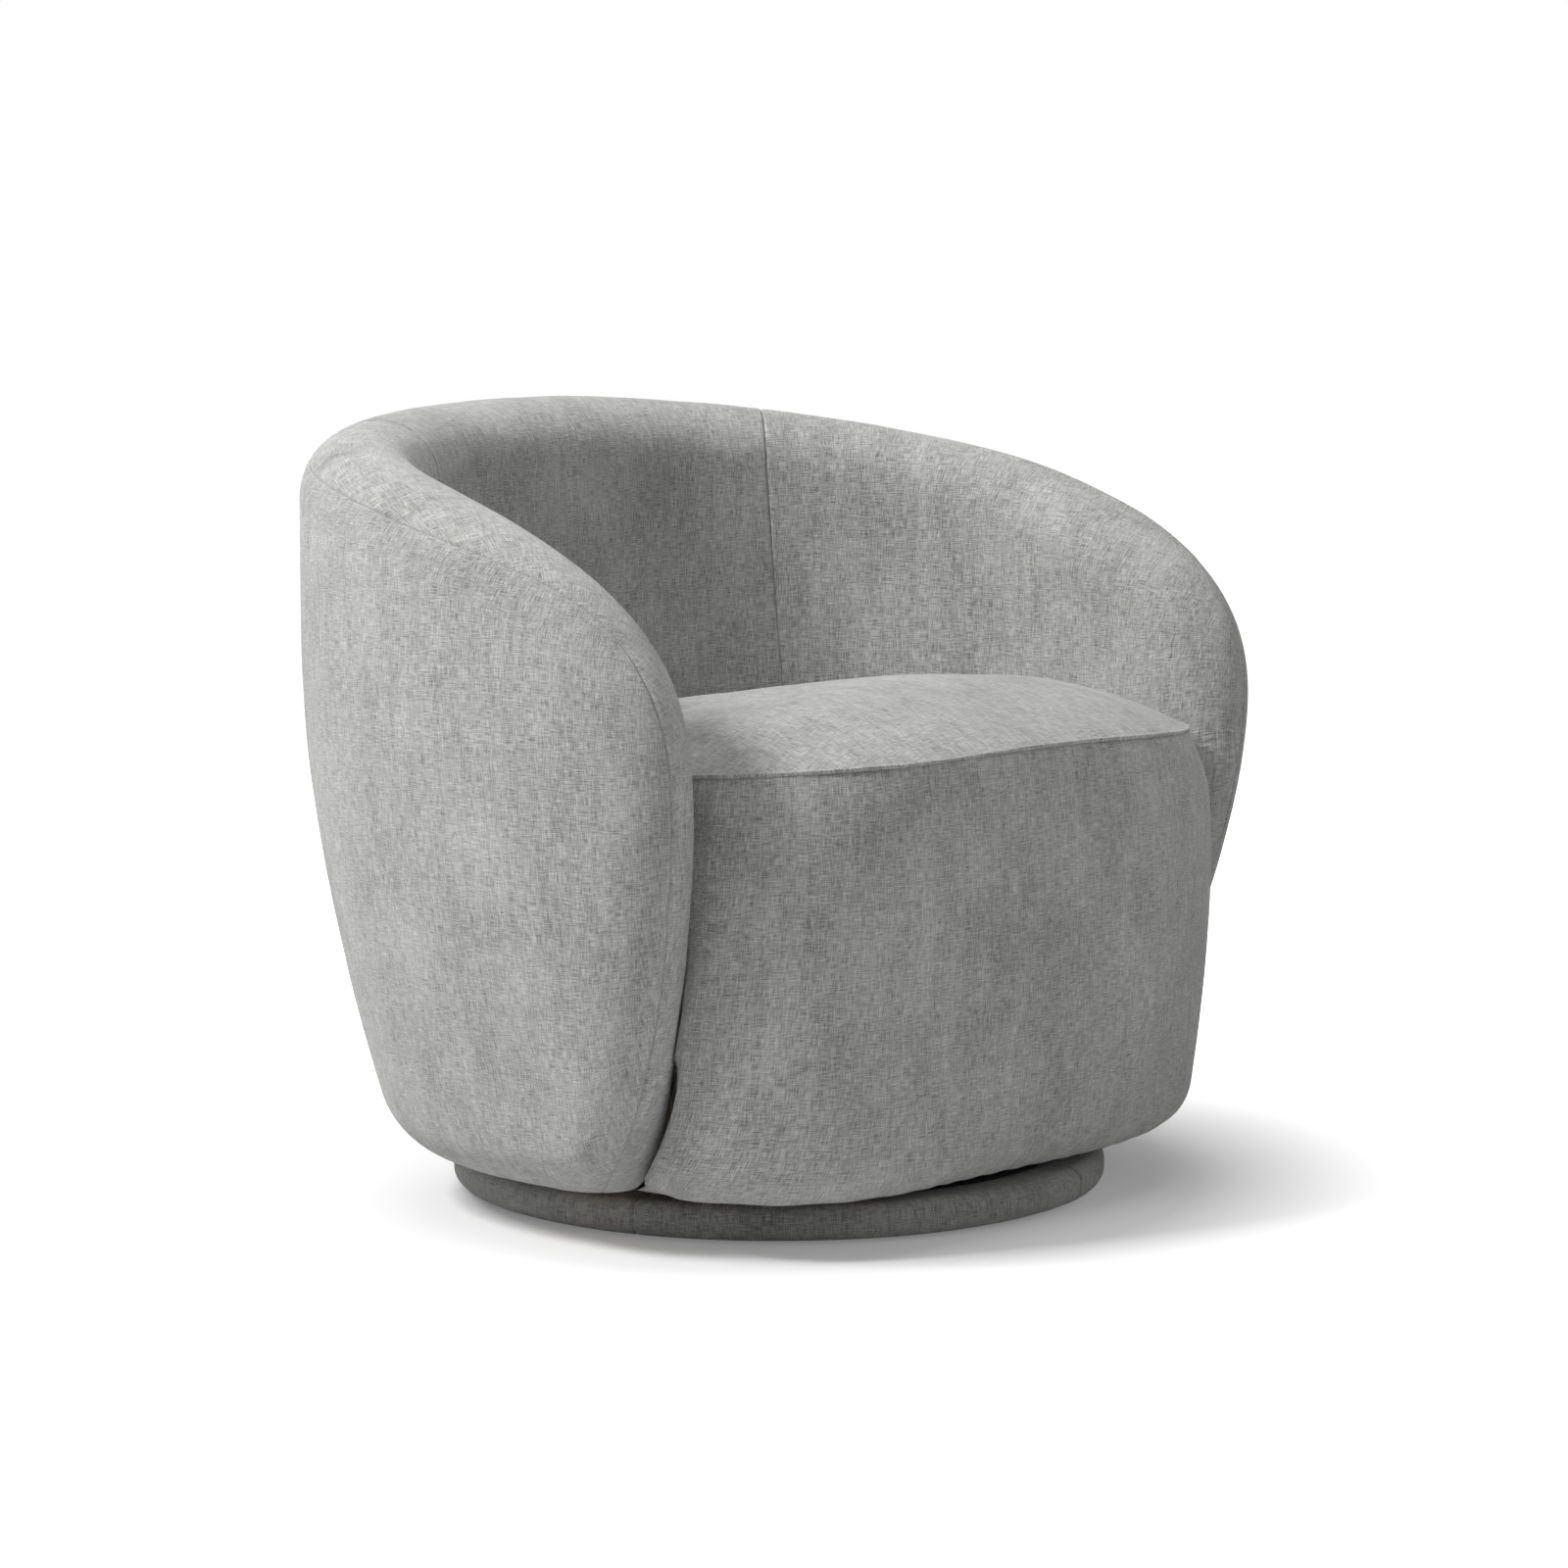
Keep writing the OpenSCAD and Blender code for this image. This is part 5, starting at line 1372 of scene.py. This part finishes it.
class CLUBCHAIR_OT_seam_threads(bpy.types.Operator):
    """Stitches in the creases of the shoulder seam and the two inside seams"""
    bl_idname = "club_chair.seam_threads"
    bl_label = "Seam threads"

    def execute(self, context):
        paths = [PATHS[x] for x in ("shoulder", "inside_left", "inside_right")]
        threads = spaced("seam_stitches", paths, stitch_item(), chair().cloth.stitch, THREAD)
        fit(threads, "chair", THREAD)
        return {"FINISHED"}


# Plinth

PLINTH_SEAMS = np.radians([-163.2, -73.9, 61.0])
SLEEVE_COLS, BAND_COLS = 360, 180
# Shares of the usual crease, of its puckers outwards and of the usual waves, and the least depth
PLINTH_CREASE, PLINTH_PUCKER, PLINTH_WAVES, PLINTH_MOST_OUT = 0.7, 0.5, 0.35, -0.0004
# Room under the sleeve and round the wood, and the staples' distance from the hem's edge
BAND_OUT, BAND_IN, PLINTH_STAPLE_IN = 0.0004, 0.0003, 0.007


def plinth_section(inset):
    """Points round the plinth's edge from the top hem over the side to the bottom hem: radius and height."""
    p = chair().plinth
    r = p.edge - inset
    out, low, high = p.radius - inset, p.low_z + inset, p.high_z - inset
    quarter = np.radians(np.linspace(90, 0, 13))
    top = [(out - r + r * math.cos(t), high - r + r * math.sin(t)) for t in quarter]
    side = [(out, low + r + (high - low - 2 * r) * x) for x in (0.66, 0.33)]
    foot = [(out - r + r * math.cos(t), low + r - r * math.sin(t)) for t in quarter[::-1]]
    inside = p.radius - p.hem_w
    flat = [inside + (out - r - inside) * x for x in (0, 0.33, 0.66)]
    return np.array([(x, high) for x in flat] + top + side + foot + [(x, low) for x in flat[::-1]])


def turned(section, angles):
    """A section of radii and heights, turned about the swivel's axis."""
    r, z = section[:, :1], section[:, 1:]
    return np.stack([r * np.cos(angles), r * np.sin(angles) + chair().plinth.centre_y,
                     np.repeat(z, len(angles), 1)], -1)


def round_angles(count):
    """Even angles once round."""
    return np.linspace(0, 2 * math.pi, count + 1)[:-1]


class CLUBCHAIR_OT_plinth_cover(bpy.types.Operator):
    """Cloth sleeve of the plinth, with its upright seams, over its foam band"""
    bl_idname = "club_chair.plinth_cover"
    bl_label = "Plinth cover"

    def execute(self, context):
        p, c = chair().plinth, chair().cloth
        beside = np.array([-1, 1])[:, None] * np.array(SEAM_STEPS[:7]) / p.radius
        close = [s + beside for s in PLINTH_SEAMS]
        a = np.concatenate([round_angles(SLEEVE_COLS), np.ravel(close)])
        a = np.unique(np.round(np.mod(a, 2 * math.pi), 6))
        outer, inner = turned(plinth_section(0.0), a), turned(plinth_section(p.cloth_t), a)
        away = np.min([abs((a - s + math.pi) % (2 * math.pi) - math.pi) for s in PLINTH_SEAMS], 0) * p.radius
        down = lengths(outer, 0)
        depth = crease(np.broadcast_to(away, down.shape), down) * PLINTH_CREASE
        depth = np.where(depth > 0, depth, depth * PLINTH_PUCKER)
        depth = depth + unevenness(outer, spread=9.0, offset=41.0) * PLINTH_WAVES
        outer, inner = pressed(outer, inner, np.maximum(depth, PLINTH_MOST_OUT))
        uv = np.stack([np.broadcast_to(a * p.radius, down.shape), down], -1) + np.array([19, 8])
        cover = slab("plinth_sleeve_cloth", outer, inner, uv, wrap=True)
        fit(cover, "plinth", PLINTH_SHADED_CLOTH, "plinth_cover")

        wood_r = p.radius - p.pad_t - p.cloth_t
        section = plinth_section(p.cloth_t + BAND_OUT)
        skin = section[section[:, 0] > wood_r]
        core = np.stack([np.full(len(skin), wood_r + BAND_IN), skin[:, 1]], -1)
        b = round_angles(BAND_COLS)
        band = fit(slab("plinth_band", turned(skin, b), turned(core, b), wrap=True), "plinth", FOAM,
                   "plinth_padding")

        hem = np.array([[p.radius - p.hem_w + PLINTH_STAPLE_IN, p.low_z]])
        under = turned(hem, np.linspace(0, 2 * math.pi, 241))[0]
        staples = spaced("plinth_staples", [hem_line(under)], staple_item(), c.staple, ZINC_STEEL)
        fit(staples, "plinth", ZINC_STEEL)
        return {"FINISHED"}


class CLUBCHAIR_OT_frame_finishes(bpy.types.Operator):
    """Finishes of the wooden frame, the swivel, the springs and the fixings"""
    bl_idname = "club_chair.frame_finishes"
    bl_label = "Frame finishes"

    def execute(self, context):
        slots = {part["node"]: part["material_slot"] for part in frame["record"]["subparts"]}
        for name, node in frame["nodes"].items():
            if node.hide_render:
                continue
            node.data.materials.clear()
            # The plinth's deck gets the near-black plywood: painted shade for the gap under the chair's body
            node.data.materials.append(finish(DECK_SHADE_PLYWOOD if name == "plinth_deck" else slots[name]))
        return {"FINISHED"}


# Stage

# Height that the lamps aim at, and the places and sizes of the fill and the top lamp
LIT_Z = 0.35
FILL_SIDE, FILL_FRONT, FILL_UP, FILL_SIZE = 2.6, 2.2, 1.2, 2.2
TOP_PLACE, TOP_SIZE = (0.1, 0.3, 2.7), 2.6
FLOOR_HALF, FLOOR_TONE = 14.0, 0.8
# Distances from the chair between which the floor grows white, and its glow before that
GLOW_START, GLOW_FULL, GLOW_LEAST = 0.4, 0.74, 0.18


def lamp(name, place, aim, side, watts):
    """A square white lamp turned towards a place."""
    data = bpy.data.lights.new(name, "AREA")
    data.shape, data.size, data.energy = "SQUARE", side, watts
    made = linked(name, data)
    made.location = place
    made.rotation_euler = (aim - place).to_track_quat("-Z", "Y").to_euler()


class CLUBCHAIR_OT_stage(bpy.types.Operator):
    """Camera at the photograph's angle, soft studio lamps and a pale floor"""
    bl_idname = "club_chair.stage"
    bl_label = "Stage"

    def execute(self, context):
        g, scene = chair().stage, context.scene
        a, e = g.azimuth, g.elevation
        back = Vector((math.sin(a) * math.cos(e), -math.cos(a) * math.cos(e), math.sin(e)))
        right = Vector((math.cos(a), math.sin(a), 0))
        axis = Vector((0, chair().plinth.centre_y, 0))
        data = bpy.data.cameras.new("camera")
        data.sensor_width, data.lens = 36, g.lens
        data.clip_start, data.clip_end = 0.05, 60
        camera = linked("camera", data)
        camera.location = axis + Vector((0, 0, g.target_z)) + right * g.target_x + back * g.distance
        camera.rotation_mode = "QUATERNION"
        camera.rotation_quaternion = (-back).to_track_quat("-Z", "Y")
        scene.camera = camera
        scene.view_settings.view_transform = "Standard"
        self.floor()
        self.world(scene, g.world)
        aim = axis + Vector((0, 0, LIT_Z))
        front = Vector((back.x, back.y, 0)).normalized()
        level = (front * math.cos(g.key_side) - right * math.sin(g.key_side)) * math.cos(g.key_rise)
        key = aim + (level + Vector((0, 0, math.sin(g.key_rise)))) * g.key_far
        fill = aim + right * FILL_SIDE + front * FILL_FRONT + Vector((0, 0, FILL_UP))
        lamp("key_lamp", key, aim, g.key_size, g.key)
        lamp("fill_lamp", fill, aim, FILL_SIZE, g.fill)
        lamp("top_lamp", aim + Vector(TOP_PLACE), aim, TOP_SIZE, g.top)
        return {"FINISHED"}

    @staticmethod
    def floor():
        """A pale floor that keeps shadows and grows white away from the chair, for the camera alone."""
        corners = [(x * FLOOR_HALF, y * FLOOR_HALF, 0) for x, y in ((-1, -1), (1, -1), (1, 1), (-1, 1))]
        floor = new_object("floor", corners, [(0, 1, 2, 3)])
        material = bpy.data.materials.new("pale_floor")
        material.use_nodes = True
        n = Nodes(material.node_tree)
        spot = n.node("ShaderNodeTexCoord", {}, {}, "Object")
        away = n.node("ShaderNodeVectorMath", {"operation": "LENGTH"}, {0: spot}, "Value")
        level = n.ray("Is Camera Ray") * n.range(away, GLOW_START, GLOW_FULL, GLOW_LEAST)
        glow = n.node("ShaderNodeEmission", {}, {"Strength": level})
        soft = n.node("ShaderNodeBsdfDiffuse", {}, {"Color": (FLOOR_TONE, FLOOR_TONE, FLOOR_TONE, 1)})
        both = n.node("ShaderNodeAddShader", {}, {0: soft, 1: glow})
        n.node("ShaderNodeOutputMaterial", {}, {"Surface": both})
        floor.data.materials.append(material)

    @staticmethod
    def world(scene, level):
        """A white backdrop for the camera and for gloss, and a weaker light on the chair."""
        scene.world = bpy.data.worlds.new("studio")
        scene.world.use_nodes = True
        n = Nodes(scene.world.node_tree)
        seen = n.math("MAXIMUM", n.ray("Is Camera Ray"), n.ray("Is Glossy Ray"))
        strength = n.range(seen, 0.0, 1.0, level)
        sky = n.node("ShaderNodeBackground", {}, {"Color": (1, 1, 1, 1), "Strength": strength})
        n.node("ShaderNodeOutputWorld", {}, {"Surface": sky})


OPERATORS = (CLUBCHAIR_OT_outside_cover, CLUBCHAIR_OT_inside_covers, CLUBCHAIR_OT_shell_padding,
             CLUBCHAIR_OT_seat_top, CLUBCHAIR_OT_front_cover, CLUBCHAIR_OT_seat_padding,
             CLUBCHAIR_OT_deck_padding, CLUBCHAIR_OT_dust_cover, CLUBCHAIR_OT_seam_threads,
             CLUBCHAIR_OT_plinth_cover, CLUBCHAIR_OT_frame_finishes, CLUBCHAIR_OT_stage)


class CLUBCHAIR_PT_panel(bpy.types.Panel):
    """Lists the chair's pieces and values"""
    bl_label = "Club chair"
    bl_idname = "CLUBCHAIR_PT_panel"
    bl_space_type = "VIEW_3D"
    bl_region_type = "UI"
    bl_category = "Club chair"

    def draw(self, context):
        for made in OPERATORS:
            self.layout.operator(made.bl_idname)
        for group in ("shell", "seat", "plinth", "cloth", "stage"):
            box = self.layout.box()
            box.label(text=group.capitalize())
            values = getattr(context.scene.club_chair, group)
            for key in values.__annotations__:
                box.prop(values, key)


CLASSES = (ShellShape, SeatShape, PlinthShape, ClothLook, StageLook, ClubChair, *OPERATORS,
           CLUBCHAIR_PT_panel)


def register():
    for kind in CLASSES:
        bpy.utils.register_class(kind)
    bpy.types.Scene.club_chair = PointerProperty(type=ClubChair)


def unregister():
    del bpy.types.Scene.club_chair
    for kind in reversed(CLASSES):
        bpy.utils.unregister_class(kind)


def main():
    register()
    for made in OPERATORS:
        getattr(bpy.ops.club_chair, made.bl_idname.split(".")[1])()


if __name__ == "__main__":
    main()
